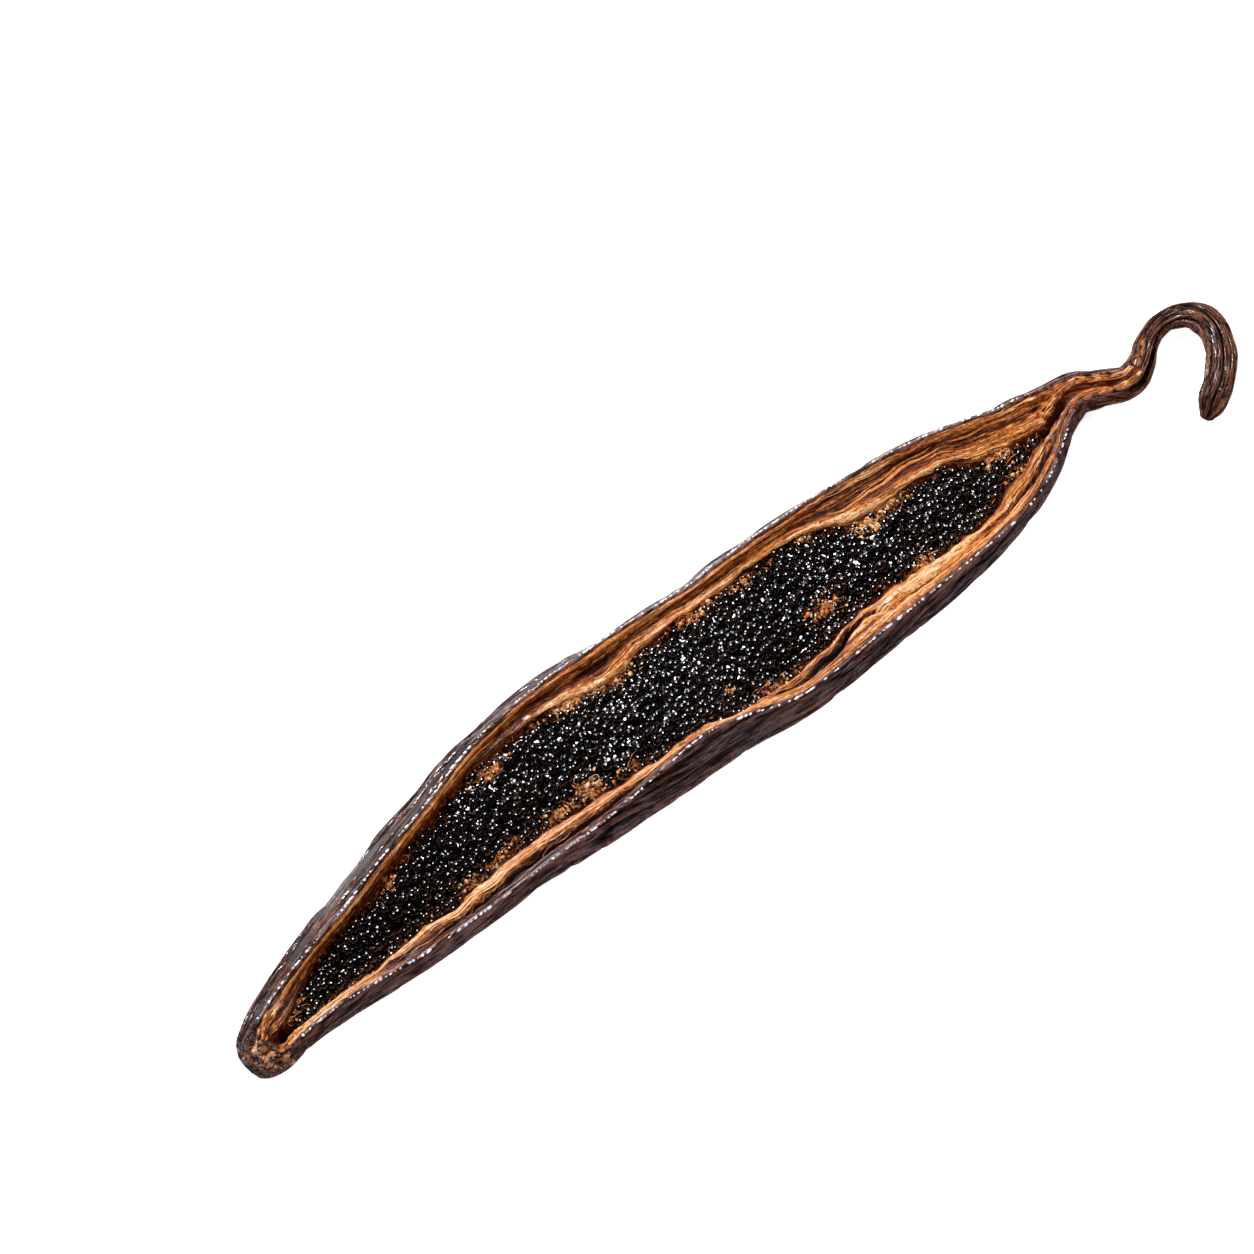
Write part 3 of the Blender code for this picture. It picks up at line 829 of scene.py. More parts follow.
def skin_inner(cut, t):
    """Inside of the skin from the +Y rim to the -Y rim, with both rounded rims."""
    over = cut.left + t * (-cut.right - cut.left)
    under = cut.left + t * (2 * math.pi - cut.right - cut.left)
    low = np.sin(math.pi * t)
    lid_u, lid_v = cut.on_husk(over)
    bowl_u, bowl_v = cut.on_husk(under, SKIN_EDGE + (SKIN_WALL - SKIN_EDGE) * low)
    bowl_v = bowl_v - FLAT_SINK * (1 - low)
    return over, lid_u, lid_v - FLAT_SINK, bowl_u, bowl_v


def rim_wander(places, plus_y):
    """How far a rim rises and falls, on the +Y side where plus_y holds and else on the other."""
    return RIM_WANDER(places / 5.0, np.where(plus_y, 3.7, 0.2)) * 0.1


def outer_skin(cut, thin, open_rim):
    """The folded outside, from the -Y rim round the underside to the +Y rim, and its values."""
    t = np.linspace(0.0, 1.0, SKIN_OUTER_POINTS)
    angle = -cut.right + t * (cut.left - 2 * math.pi + cut.right)
    place = cut.places + 0 * angle
    strength = along(FOLD_STRENGTH, t) * open_rim + (1 - open_rim)
    depth, valley, crest, skin_place = skin_folds(place, angle, strength)
    from_rim = np.minimum(t, 1 - t) * (2 * math.pi - cut.right - cut.left) * cut.half
    crest = np.maximum(crest, 0.75 * open_rim * bump(from_rim, 0.9, 0.7)
                       * smooth(SKIN_LUMPS(place / 4, 0.5), -0.5, 0.3))
    calm = 1 - open_rim * (1 - smooth(from_rim, 0.1, 1.4)) * 0.8
    sunk = thin * depth * calm
    # The place goes down with the folds, so that the finish isn't drawn out on their steep walls.
    skin_place[..., 1:] *= 1 - sunk[..., None] / ROLL
    u, v = cut.on_husk(angle)
    n_u, n_v = cut.outward(angle)
    u, v = u - sunk * n_u, np.maximum(v - sunk * n_v - FLAT_SINK, cut.floor)
    v = v + rim_wander(place, t > 0.5) * open_rim * (1 - smooth(from_rim, 0.0, 1.2))
    values = {"valley": valley, "crest": crest, "inner": 0 * valley, "skin_place": skin_place}
    return in_space(place, u, v), values


def inner_skin(cut, thin, open_rim):
    """The inside with its rounded rims, which closes into a lid where the pod is solid."""
    ease = np.linspace(0.0, 1.0, RIM_ROUND_POINTS + 2)[1:-1]
    first = 0.5 / SKIN_INNER_POINTS
    t = np.concatenate([ease * first, np.linspace(first, 1 - first, SKIN_INNER_POINTS),
                        1 - first * ease[::-1]])
    over, lid_u, lid_v, bowl_u, bowl_v = skin_inner(cut, t)
    for k, swing in enumerate(math.pi * ease):
        for side, column in ((1, k), (-1, len(t) - 1 - k)):
            rim = cut.left if side > 0 else -cut.right
            m_u, m_v = cut.on_husk(rim, SKIN_EDGE / 2)
            o_u, o_v = cut.outward(rim)
            out, round_over = 0.5 * SKIN_EDGE * math.cos(swing), 0.5 * SKIN_EDGE * math.sin(swing)
            bowl_u[:, column:column + 1] = m_u + out * o_u - side * round_over * o_v
            bowl_v[:, column:column + 1] = m_v + out * o_v + side * round_over * o_u - FLAT_SINK
    depth, valley, crest, skin_place = skin_folds(cut.places, over, LID_FOLD_STRENGTH)
    n_u, n_v = cut.outward(over)
    edge = np.sin(math.pi * t) ** 0.5
    lid_u = lid_u - thin * depth * edge * n_u
    lid_v = lid_v - thin * depth * edge * n_v
    near_rim = np.where((t < first * 1.2) | (t > 1 - first * 1.2), 1.0, 0.0)
    u = lid_u + cut.hollow * (bowl_u - lid_u)
    v = (lid_v + cut.hollow * (bowl_v - lid_v)
         + rim_wander(cut.places, t < 0.5) * open_rim * near_rim)
    shut = 1 - cut.hollow
    values = {"valley": valley * shut, "crest": crest * shut,
              "inner": (cut.hollow + 0 * over) * (1 - near_rim), "skin_place": skin_place}
    return in_space(cut.places + 0 * u, u, v), values


def husk_surface():
    """Rings of the skin, outside then inside, and the values that its finish reads."""
    cut = Sections(np.concatenate([
        np.linspace(POD_START, BLUNT_LONG, BLUNT_RINGS)[:-1],
        np.arange(BLUNT_LONG, POD_END - TIP_LONG, SKIN_STEP),
        np.linspace(POD_END - TIP_LONG, POD_END, TIP_RINGS)]))
    thin = np.minimum(1.0, cut.half / FULL_FOLD_HALF_WIDTH) ** 0.4
    open_rim = smooth(cut.hollow, 0.2, 0.8)
    outside, outer_values = outer_skin(cut, thin, open_rim)
    inside, inner_values = inner_skin(cut, thin, open_rim)
    rings = np.concatenate([outside, inside], axis=1)
    values = {key: np.concatenate([outer_values[key], inner_values[key]], axis=1)
              for key in outer_values}
    # The finish is kept from shrinking where the pod is thin.
    values["skin_place"][..., 1:] *= np.clip(1.25 * cut.half / ROLL, 0.3, 1.0)[..., None]
    values["stem"] = np.repeat(smooth(cut.places, *STEM_BEGINS), rings.shape[1], axis=1)
    rings, values = with_ends(rings, values)
    rings, values["scar"] = scarred(rings)
    return rings, values


def with_ends(rings, values):
    """Close both ends with shrinking rings."""
    ends = []
    for source, dome, at, way in ((rings[0], BLUNT_DOME, POD_START, -1),
                                  (rings[-1], TIP_DOME, POD_END, 1)):
        middle = source.mean(axis=0)
        ahead = np.append(LINE.heading(np.array(at)), 0.0) * way
        ends.append([middle + (source - middle) * size + ahead * out for size, out in dome])
    rings = np.concatenate([np.array(ends[0][::-1]), rings, np.array(ends[1])])
    kept = {}
    for key, value in values.items():
        before = np.repeat(value[:1], len(BLUNT_DOME), axis=0)
        after = np.repeat(value[-1:], len(TIP_DOME), axis=0)
        kept[key] = np.concatenate([before, value, after])
    return rings, kept


def scarred(rings):
    """Roughen the scar of the blunt end and the smear on the stem, and give their mask."""
    x, y, z = rings[..., 0], rings[..., 1], rings[..., 2]
    lumps = SCAR_GRAIN(x / 1.1, y / 1.1, z / 1.1) + 0.5 * SCAR_GRAIN(x / 0.5, y / 0.5, z / 0.5)
    (mid_x, mid_y), (long, wide) = SCAR_MIDDLE, SCAR_REACH
    far = np.hypot((x - mid_x) / long, (y - mid_y) / wide) + 0.22 * lumps
    scar = (1 - smooth(far, 0.75, 1.1)) * smooth(z, *SCAR_HEIGHTS)
    smear_x, smear_y = in_space(np.array([[SMEAR_PLACE]]), SMEAR_SIDE, 0.0)[0, 0, :2]
    way_x, way_y = LINE.heading(np.array(SMEAR_PLACE))
    on_x, on_y = x - smear_x, y - smear_y
    long, wide = SMEAR_REACH
    far = np.hypot((on_x * way_x + on_y * way_y) / long, (on_y * way_x - on_x * way_y) / wide)
    smear = (1 - smooth(far + 0.35 * lumps, 0.7, 1.1)) * smooth(z, *SMEAR_HEIGHTS)
    scar = np.maximum(scar, smear)
    way = rings - rings.mean(axis=1, keepdims=True)
    way = way / np.maximum(np.linalg.norm(way, axis=2, keepdims=True), 1e-6)
    rough = rings - way * (scar * 0.5 * (lumps + 0.5))[..., None]
    rough[..., 0] += scar * 0.35 * (SCAR_GRAIN(x / 0.9 + 7, y / 0.9, z / 0.9) + 0.4)
    return rough, scar


def finished(piece, slot, *nodes):
    """Let a piece ride on the pod and hide the frame nodes that it stands for; its finish slot is not
    used.
    """
    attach(piece, "root")
    if nodes:
        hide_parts(*nodes)
    return piece


def to_frame(rings):
    """Points in mm from the tables turned into points of the frame in metres."""
    return (rings - np.array([SHIFT[0], SHIFT[1], 0.0])) * MM


# ---------------------------------------------------------------- flesh

FIBRE_LONG, FIBRE_SHORT, FLESH_LUMPS, EDGE_RAG = Grain(21), Grain(22), Grain(23), Grain(24)
TEAR = Grain(25)


def seed_edges(places):
    """Where the seeds meet the flesh on the +Y and the -Y side: u and v of each."""
    rag = 0.3 * EDGE_RAG(places / 2.4, 0.5) + 0.16 * EDGE_RAG(places / 0.9, 1.5)
    rag_right = 0.3 * EDGE_RAG(places / 2.2, 4.5) + 0.16 * EDGE_RAG(places / 0.8, 5.5)
    seeded = smooth(places, 7.0, 10.0) * (1 - smooth(places, 120.0, 124.0))
    left = along(EDGE_LEFT, places) + rag * seeded
    right = along(EDGE_RIGHT, places) + rag_right * seeded
    return left, along(EDGE_HEIGHT_LEFT, places), right, along(EDGE_HEIGHT_RIGHT, places)


def flesh_sink(places, across):
    """How far the flesh dives under the skin where it begins at the blunt end."""
    ragged = (places + 0.55 * TEAR(places / 0.9, across / 0.7)
              + 0.3 * TEAR(places / 0.4, across / 0.35))
    return 1.5 * (1 - smooth(ragged, 2.5, 3.7)) + 1.5 * smooth(ragged, 138.4, 139.8)


def flank(cut, side):
    """Of one flank: its rim, its run from there to the seeds, and the way out of the flesh."""
    left_u, left_v, right_u, right_v = seed_edges(cut.places)
    edge_u, edge_v = (left_u, left_v) if side > 0 else (right_u, right_v)
    rim_u, rim_v = cut.on_husk(cut.left if side > 0 else -cut.right, SKIN_EDGE * 0.85)
    rim_v = rim_v - FLAT_SINK + 0.05
    run_u, run_v = edge_u - rim_u, edge_v - rim_v
    length = np.hypot(run_u, run_v)
    n_u, n_v = -run_v / length * side, run_u / length * side
    flip = np.where(n_v < 0, -1.0, 1.0)
    return rim_u, rim_v, run_u, run_v, length, n_u * flip, n_v * flip


def left_tones(places, q, tone, red, fibre):
    """Tone and redness of the +Y flank."""
    # Towards the blunt end one bright band runs between a dark rim and a brown ragged edge.
    lined = 1 - smooth(places, 44.0, 56.0)
    # Further on a flat band between the rim and a bright crest is painted darker, as painted shade,
    # and the crest lighter, as painted light.
    painted_shading = smooth(places, 50.0, 60.0) * (1 - smooth(places, 96.0, 106.0))
    band = smooth(q, 0.16, 0.26) * (1 - smooth(q, 0.56, 0.68))
    tone = tone + painted_shading * (band * (0.34 + 0.25 * fibre - tone) + 0.45 * bump(q, 0.8, 0.14))
    tone = tone + lined * (0.9 * bump(q, 0.28, 0.13) - 0.3 * bump(q, 0.05, 0.08)
                           - 0.15 * smooth(q, 0.46, 0.58) - 0.4 * smooth(q, 0.66, 0.8))
    return tone, red + 0.5 * lined * smooth(q, 0.62, 0.8)


def right_tones(places, q, tone):
    """Tone of the -Y flank: dark with painted shade from the rim to the slit, then with a pale lip.
    """
    painted_shading = smooth(places, 16.0, 24.0) * (1 - smooth(places, 60.0, 68.0))
    tone = tone - 0.6 * painted_shading * (1 - smooth(q, 0.32, 0.44))
    lip = smooth(places, 54.0, 62.0) * (1 - smooth(places, 116.0, 122.0))
    return tone + 0.35 * lip * bump(q, 0.2, 0.12)


def flesh_side(cut, side, q):
    """One flank of the flesh from the rim (q = 0) to the seeds (q = 1), and its colours."""
    rim_u, rim_v, run_u, run_v, length, n_u, n_v = flank(cut, side)
    across = q * length
    fade = np.minimum(1.0, length / 2.5)
    base = np.sin(math.pi * q) * 0.12 * length * 0.3
    rim = RIM_CREST * bump(across, 0.4, 0.32)
    if side > 0:
        band = along(BAND_LEFT, cut.places) * bump(q, 0.42, 0.2)
        inner = along(CREST_LEFT, cut.places) * bump(q, 0.8, 0.13)
    else:
        centre = along(SLIT_PLACE, cut.places) + 0.04 * FLESH_LUMPS(cut.places / 6, 8.0)
        band = along(SLIT_RIGHT, cut.places) * bump(q, centre, along(SLIT_WIDTH, cut.places))
        inner = along(CREST_RIGHT, cut.places) * bump(q, 0.66, 0.24)
    wavy = 1 + 0.7 * FLESH_LUMPS(cut.places / 5, across / 2, 3.0 * side)
    # Both ends are more ragged.
    coarse = smooth(cut.places, 119.0, 127.0) + (1 - smooth(cut.places, 4.5, 10.0))
    slant = cut.places + 1.5 * across
    fibre = FIBRE_LONG(slant / 9, across / 0.42, 5.0 * side)
    strand = FIBRE_LONG(slant / 16, across / 0.85, 9.0 * side)
    grit = FIBRE_SHORT(cut.places / 1.2, across / 0.7, 5.0 * side)
    torn = smooth(q, 0.55, 1.0) * TEAR(cut.places / 1.6, across / 1.1, 2.0 * side)
    rough = (0.12 * fibre + 0.12 * strand + 0.08 * grit + 0.22 * torn
             + coarse * (0.4 * grit + 0.35 * FIBRE_SHORT(cut.places / 2.4, across / 1.1)))
    ends = smooth(q, 0.0, 0.12) * 0.9 + 0.1
    height = base + (rim - band * wavy + inner * wavy) * fade + rough * ends
    u = rim_u + q * run_u + height * n_u
    v = rim_v + q**1.1 * run_v + height * n_v - flesh_sink(cut.places, across * side)
    raised = (rim + inner * wavy) * fade / 0.5
    sunken = band * wavy / 0.5
    # Painted light and shade over the fibres' own tone: lighter on crests and raised tears, darker in
    # hollow bands and next to the seeds.
    tone = (0.48 + 0.3 * raised - 0.5 * sunken + 0.45 * strand + 0.35 * fibre
            + 0.3 * torn - 0.3 * smooth(q, 0.88, 1.0))
    red = smooth(q, 0.86, 1.0) * 0.8 + 0 * tone
    if side > 0:
        tone, red = left_tones(cut.places, q, tone, red, fibre)
    else:
        tone = right_tones(cut.places, q, tone)
    tone = tone + coarse * (grit - 0.06)
    # Painted shade: the deeper the slit or the pocket, the darker its colour.
    deep = smooth(sunken, 0.8, 1.7)
    return u, v, np.clip(tone, 0.0, 0.98), np.clip(red, 0.0, 1.0), across, deep


def flesh_surface():
    """Rings of the flesh: flank, bed and flank on top, then its back against the skin."""
    cut = Sections(np.arange(FLESH_FROM, FLESH_TO, FLESH_STEP))
    q = np.linspace(0.0, 1.0, FLESH_SIDE_POINTS)
    left = flesh_side(cut, 1, q)
    right = flesh_side(cut, -1, q)
    t = np.linspace(0.0, 1.0, FLESH_BED_POINTS + 2)[1:-1]
    first_u, first_v = left[0][:, -1:], left[1][:, -1:]
    last_u, last_v = right[0][:, -1:], right[1][:, -1:]
    sag = along(BED_SAG, cut.places)
    grit = FIBRE_SHORT(cut.places / 1.3, t * 4, 7.0) * 0.2
    bed_u = first_u + (last_u - first_u) * t
    bed_v = first_v + (last_v - first_v) * t - sag * np.sin(math.pi * t) ** 0.7 + grit * sag
    pit = bump(cut.places, 5.9, 1.2)
    back_t = np.linspace(0.0, 1.0, FLESH_BACK_POINTS + 2)[1:-1][::-1]
    _, lid_u, lid_v, bowl_u, bowl_v = skin_inner(cut, back_t)
    back_u = lid_u + cut.hollow * (bowl_u - lid_u)
    back_v = lid_v + cut.hollow * (bowl_v - lid_v) + FLESH_CLEAR
    back_v = np.minimum(back_v, lid_v - 0.3) - flesh_sink(cut.places, 0.0)
    u = np.concatenate([left[0], bed_u, right[0][:, ::-1], back_u], axis=1)
    v = np.concatenate([left[1], bed_v, right[1][:, ::-1], back_v], axis=1)
    place = cut.places + 0 * u
    bed_tone = 0.12 + 0.2 * grit + 0 * bed_u
    groove = smooth(cut.places, 121.0, 128.0)
    # Painted shade: darker along the middle of the neck groove, in the blunt end's pit and in the
    # neck's pit.
    bed_tone = bed_tone + groove * (0.1 + 0.3 * np.abs(t - 0.5)) - 0.3 * pit
    bed_tone = bed_tone - 0.35 * bump(cut.places, 126.5, 2.5)
    dark = np.zeros_like(back_u)
    tone = np.concatenate([left[2], bed_tone, right[2][:, ::-1], dark], axis=1)
    red = np.concatenate([left[3], 0.75 + 0 * bed_u - 0.45 * groove, right[3][:, ::-1], dark], axis=1)
    across = np.concatenate([left[4], left[4][:, -1:] + t * (first_u - last_u),
                             30 - right[4][:, ::-1], 60 + dark], axis=1)
    flesh_place = np.stack([place, across, 0 * place], axis=-1)
    rings = in_space(place, u, v)
    # Every ring is turned round, so that it runs as the skin's rings do.
    rings = rings[:, ::-1]
    # The blunt end's pit gets the slit's painted shade.
    deep = np.concatenate([left[5], 0.8 * pit + 0 * bed_u, right[5][:, ::-1], dark], axis=1)
    values = {"tone": tone[:, ::-1], "red": red[:, ::-1], "deep": deep[:, ::-1],
              "flesh_place": flesh_place[:, ::-1]}
    return rings, values


# ---------------------------------------------------------------- seeds

BED_UNEVEN = Grain(31)


def bed_top(places, share):
    """Top of the seeds: share runs from the -Y edge (0) to the +Y edge (1)."""
    left_u, left_v, right_u, right_v = seed_edges(places)
    wide = left_u - right_u
    crown = SEED_CROWN * np.minimum(1.0, wide / FULL_CROWN_WIDTH)
    u = right_u + share * wide
    level = right_v + share * (left_v - right_v) - 0.25
    uneven = 0.3 * BED_UNEVEN(places / 5, u / 4) + 0.18 * BED_UNEVEN(places / 2 + 9, u / 2)
    return u, level + crown * np.sin(math.pi * np.clip(share, 0, 1)) ** 0.8 + uneven


def cell_domes(x, y, seed, jitter=0.32, reach=0.66):
    """Round domes, one about a jittered point of each cell of an even grid."""
    draw = np.random.default_rng(seed)
    size = 256
    shift_x, shift_y = draw.uniform(-jitter, jitter, (2, size, size))
    tall = draw.uniform(0.55, 1.0, (size, size))
    cell_x, cell_y = np.floor(x).astype(int), np.floor(y).astype(int)
    best = np.zeros(np.broadcast(x, y).shape)
    for i in (-1, 0, 1):
        for j in (-1, 0, 1):
            a, b = (cell_x + i) % size, (cell_y + j) % size
            far = ((cell_x + i + 0.5 + shift_x[a, b] - x) ** 2
                   + (cell_y + j + 0.5 + shift_y[a, b] - y) ** 2)
            dome = np.sqrt(np.maximum(0.0, 1 - far / reach**2)) * tall[a, b]
            best = np.maximum(best, dome)
    return best


def seed_bed_surface():
    """Rings of the seed bed with half-buried seeds on its top."""
    places = np.arange(SEEDS_FROM, SEEDS_TO, BED_STEP)[:, None]
    share = np.linspace(0.0, 1.0, BED_POINTS)
    u, v = bed_top(places, share)
    pitch = SEED_SIZE * 0.95
    domes = cell_domes(places / pitch, u / pitch + 40, 33)
    wide = u[:, -1:] - u[:, :1]
    from_edge = np.minimum(share, 1 - share) * wide
    tuck = 1 - smooth(from_edge, 0.0, EDGE_TUCK)
    ends = 1 - smooth(np.minimum(places - SEEDS_FROM, SEEDS_TO - places), 0.0, 1.0)
    v = v - 0.42 + 0.42 * domes - 0.35 * tuck - 0.5 * ends
    under_t = np.linspace(1.0, 0.0, 10)[1:-1]
    under_u = u[:, :1] + under_t * wide
    under_v = v[:, :1] + under_t * (v[:, -1:] - v[:, :1]) - 0.9 * np.sin(math.pi * under_t)
    all_u = np.concatenate([u, under_u], axis=1)
    all_v = np.concatenate([v, under_v], axis=1)
    rings = in_space(places + 0 * all_u, all_u, all_v)[:, ::-1]
    noise = BED_UNEVEN(places / 1.5, all_u / 1.5, 5.0)
    near = np.concatenate([tuck, np.ones_like(under_u)], axis=1)
    gaps = 1 - np.concatenate([domes, 0 * under_u], axis=1)
    edge = np.concatenate([1 - smooth(from_edge, 0.4, 2.0), np.ones_like(under_u)], axis=1)
    brown = np.clip(gaps * (0.2 + 0.35 * noise + 0.8 * edge) + 0.3 * near, 0.0, 1.0)
    return rings, {"brown": brown[:, ::-1]}


def lump_kinds(draw, count, lumps, waves, fine):
    """A count of uneven shapes of radius 1: how lumpy, how many waves, and how fine their mesh."""
    points, faces = ball(fine)
    uneven = Grain(41)
    kinds = []
    for i in range(count):
        far = 1 + lumps * uneven(*(points.T * waves + 10 * i))
        squash = np.array([draw.uniform(low, high) for low, high in SQUASH])
        kinds.append((points * far[:, None] * squash, faces))
    return kinds


def seed_places(draw, pitch):
    """Jittered places over the bed: place along, u, v and nearness to an edge."""
    rows = []
    for row, place in enumerate(np.arange(SEEDS_FROM + 0.5, SEEDS_TO - 0.3, pitch * 0.87)):
        left_u, _, right_u, _ = (float(x) for x in seed_edges(np.array(place)))
        start = right_u + (row % 2) * pitch / 2
        for u in np.arange(start, left_u, pitch):
            rows.append((place, u))
    rows = np.array(rows) + draw.uniform(-0.38, 0.38, (len(rows), 2)) * pitch
    left_u, _, right_u, _ = seed_edges(rows[:, 0])
    share = (rows[:, 1] - right_u) / (left_u - right_u)
    keep = (share > -0.01) & (share < 1.01)
    rows, share = rows[keep], share[keep]
    u, v = bed_top(rows[:, 0], share)
    near = 1 - smooth(np.minimum(share, 1 - share) * (left_u - right_u)[keep], 0.0, 1.3)
    return rows[:, 0], u, v, near


# ---------------------------------------------------------------- settings


def colour_setting(name, description, colour):
    """A colour in the panel, from a display colour of 0 to 255."""
    return FloatVectorProperty(name=name, description=description, subtype="COLOR", size=3,
                               default=linear(*colour))


def size_setting(name, description, default, low, high):
    """A length in the panel, from sizes in mm."""
    return FloatProperty(name=name, description=description, default=default * MM, min=low * MM,
                         max=high * MM, precision=5, unit="LENGTH")


class PodColours(bpy.types.PropertyGroup):
    """Colours of the pod's finishes."""

    skin_dark: colour_setting("Skin", "Main colour of the cured skin", (98, 77, 77))
    skin_warm: colour_setting("Warm skin", "Warmer patches of the skin", (104, 74, 70))
    # Painted sheen on the raised tops of the skin's wrinkles.
    skin_sheen: colour_setting("Grey skin", "Dry tops of the skin's wrinkles", (122, 102, 102))
    skin_rust: colour_setting("Fold crests", "Worn crests of the folds", (150, 86, 52))
    skin_stem: colour_setting("Stem skin", "Lighter skin of the stem", (156, 102, 80))
    # Painted glint of the rim beads.
    bead: colour_setting("Beads", "Pale beads along the rims", (246, 240, 244))
    # Painted shade in the fold valleys and cracks; also the darkest flecks of the scar.
    valley_shade: colour_setting("Fold valleys", "Bottom of the folds", (9, 5, 4))
    scar_brown: colour_setting("Scar", "Main colour of the blunt end's scar", (92, 60, 50))
    scar_tan: colour_setting("Scar grains", "Raised grains of the scar", (176, 122, 88))
    scar_pale: colour_setting("Dusty scar", "Palest grains of the scar", (234, 184, 144))
    # Flesh colours, read by a tone that holds painted light on crests and painted shade in hollows.
    flesh_dark: colour_setting("Flesh hollows", "Deepest parts of the flesh", (34, 12, 6))
    flesh_brown: colour_setting("Brown flesh", "Shaded fibres of the flesh", (104, 52, 26))
    flesh_tan: colour_setting("Tan flesh", "Main colour of the flesh", (192, 108, 46))
    flesh_bright: colour_setting("Bright flesh", "Crests of the flesh", (236, 156, 78))
    flesh_pale: colour_setting("Pale flesh", "Palest fibres", (250, 206, 156))
    # Painted shade inside the slit, the pocket and the blunt end's pit.
    deep_shade: colour_setting("Slit", "Inside of the slit and the pocket", (12, 4, 2))
    flesh_red: colour_setting("Red fibres", "Fibres between the seeds", (98, 38, 14))
    seed_black: colour_setting("Seeds", "Colour of the seeds", (3, 2, 2))
    seed_brown: colour_setting("Seed gaps", "Brown in the gaps between seeds", (58, 20, 8))


class PodSeeds(bpy.types.PropertyGroup):
    """Sizes of the loose seeds."""

    size: size_setting("Seed size", "Diameter of a seed", SEED_SIZE, 0.2, 1.5)
    spread: FloatProperty(
        name="Size spread", description="How much the seeds differ in size", default=0.22,
        min=0.0, max=0.5, subtype="FACTOR")
    piled: FloatProperty(
        name="Piled share", description="Share of the seeds that lie on top of others",
        default=0.12, min=0.0, max=0.4, subtype="FACTOR")
    seed: IntProperty(name="Draw", description="Seed of the random draw", default=7, min=0)


class PodShreds(bpy.types.PropertyGroup):
    """Sizes of the torn fibres and beads."""

    count: IntProperty(
        name="Torn fibres", description="Number of torn fibres", default=900, min=0)
    length: size_setting("Fibre length", "Length of the longest torn fibres", 2.2, 0.5, 8.0)
    crumbs: IntProperty(
        name="Crumbs", description="Number of crumbs strewn along the edges of the seeds",
        default=1400, min=0)
    long_count: IntProperty(
        name="Long fibres", description="Number of fibres along the flesh", default=900, min=0)
    long_length: size_setting(
        "Long fibre length", "Length of the longest fibres along the flesh", 14.0, 1.0, 40.0)
    bead_pitch: size_setting(
        "Bead pitch", "Distance from bead to bead along a rim", 0.62, 0.4, 4.0)


class PodStage(bpy.types.PropertyGroup):
    """Floor, light and camera."""

    floor_colour: FloatVectorProperty(
        name="Floor", description="Colour of the floor", subtype="COLOR", size=3,
        default=(0.93, 0.93, 0.93))
    floor_glow: FloatProperty(
        name="Floor glow", description="Light that shines through the pale floor", default=0.75,
        min=0.0)
    key_power: FloatProperty(
        name="Main light", description="Power of the main light in watts", default=13.0, min=0.0)
    fill_power: FloatProperty(
        name="Side light", description="Power of the side lights in watts", default=4.6, min=0.0)
    back_power: FloatProperty(
        name="Low light", description="Power of the low light behind the pod in watts", default=3.0,
        min=0.0)
    camera_distance: FloatProperty(
        name="Camera distance", description="Distance from the camera to the pod",
        default=4.128, min=0.05, unit="LENGTH")


class PodSettings(bpy.types.PropertyGroup):
    """All settings of the vanilla pod."""

    colours: PointerProperty(type=PodColours)
    seeds: PointerProperty(type=PodSeeds)
    shreds: PointerProperty(type=PodShreds)
    stage: PointerProperty(type=PodStage)


# ---------------------------------------------------------------- operators


def scar_grains(rings, scar):
    """Shapes, points, axes and tones of the grains on the scar, which gather in pale clumps."""
    draw = np.random.default_rng(51)
    found = rings[(scar > GRAIN_SCAR) & (rings[..., 2] > GRAINS_FROM)]
    clumps = found[draw.integers(0, len(found), SCAR_CLUMPS)]
    apart = np.linalg.norm(found[:, None, :] - clumps[None, :, :], axis=2).min(axis=1)
    near = np.exp(-(apart / CLUMP_REACH) ** 2)
    chance = near + CLUMP_LOOSE
    picked = draw.choice(len(found), SCAR_GRAINS, p=chance / chance.sum())
    spots = found[picked] + draw.normal(0, GRAIN_OFF, (SCAR_GRAINS, 3))
    radius = draw.uniform(*GRAIN_RADIUS, SCAR_GRAINS) * MM
    axes = draw.uniform(0.6, 1.6, (SCAR_GRAINS, 3))[:, :, None] * turns(draw, SCAR_GRAINS)
    kinds = lump_kinds(draw, *FLAKE_LUMPS)
    tone = 0.2 + 0.6 * near[picked] + draw.normal(0, 0.12, SCAR_GRAINS)
    return kinds, to_frame(spots), axes * radius[:, None, None], {"tone": tone}


class POD_OT_husk_skin(bpy.types.Operator):
    """Build the wrinkled skin with its blunt end, neck and curled stem"""

    bl_idname = "vanilla_pod.husk_skin"
    bl_label = "Husk Skin"

    def execute(self, context):
        colours = context.scene.vanilla_pod.colours
        rings, values = husk_surface()
        skin = shell("husk_skin", to_frame(rings), skin_finish(colours), values)
        finished(skin, "husk_skin", "husk")
        grains = scatter("scar_grains", *scar_grains(rings, values["scar"]), scar_shreds(colours))
        finished(grains, "flesh")
        return {"FINISHED"}


class POD_OT_flesh(bpy.types.Operator):
    """Build the fibrous flesh with its lips, slit, pit and neck groove"""

    bl_idname = "vanilla_pod.flesh"
    bl_label = "Flesh"

    def execute(self, context):
        material = flesh_finish(context.scene.vanilla_pod.colours)
        rings, values = flesh_surface()
        piece = shell("flesh_walls", to_frame(rings), material, values)
        finished(piece, "flesh", "flesh_lining")
        return {"FINISHED"}


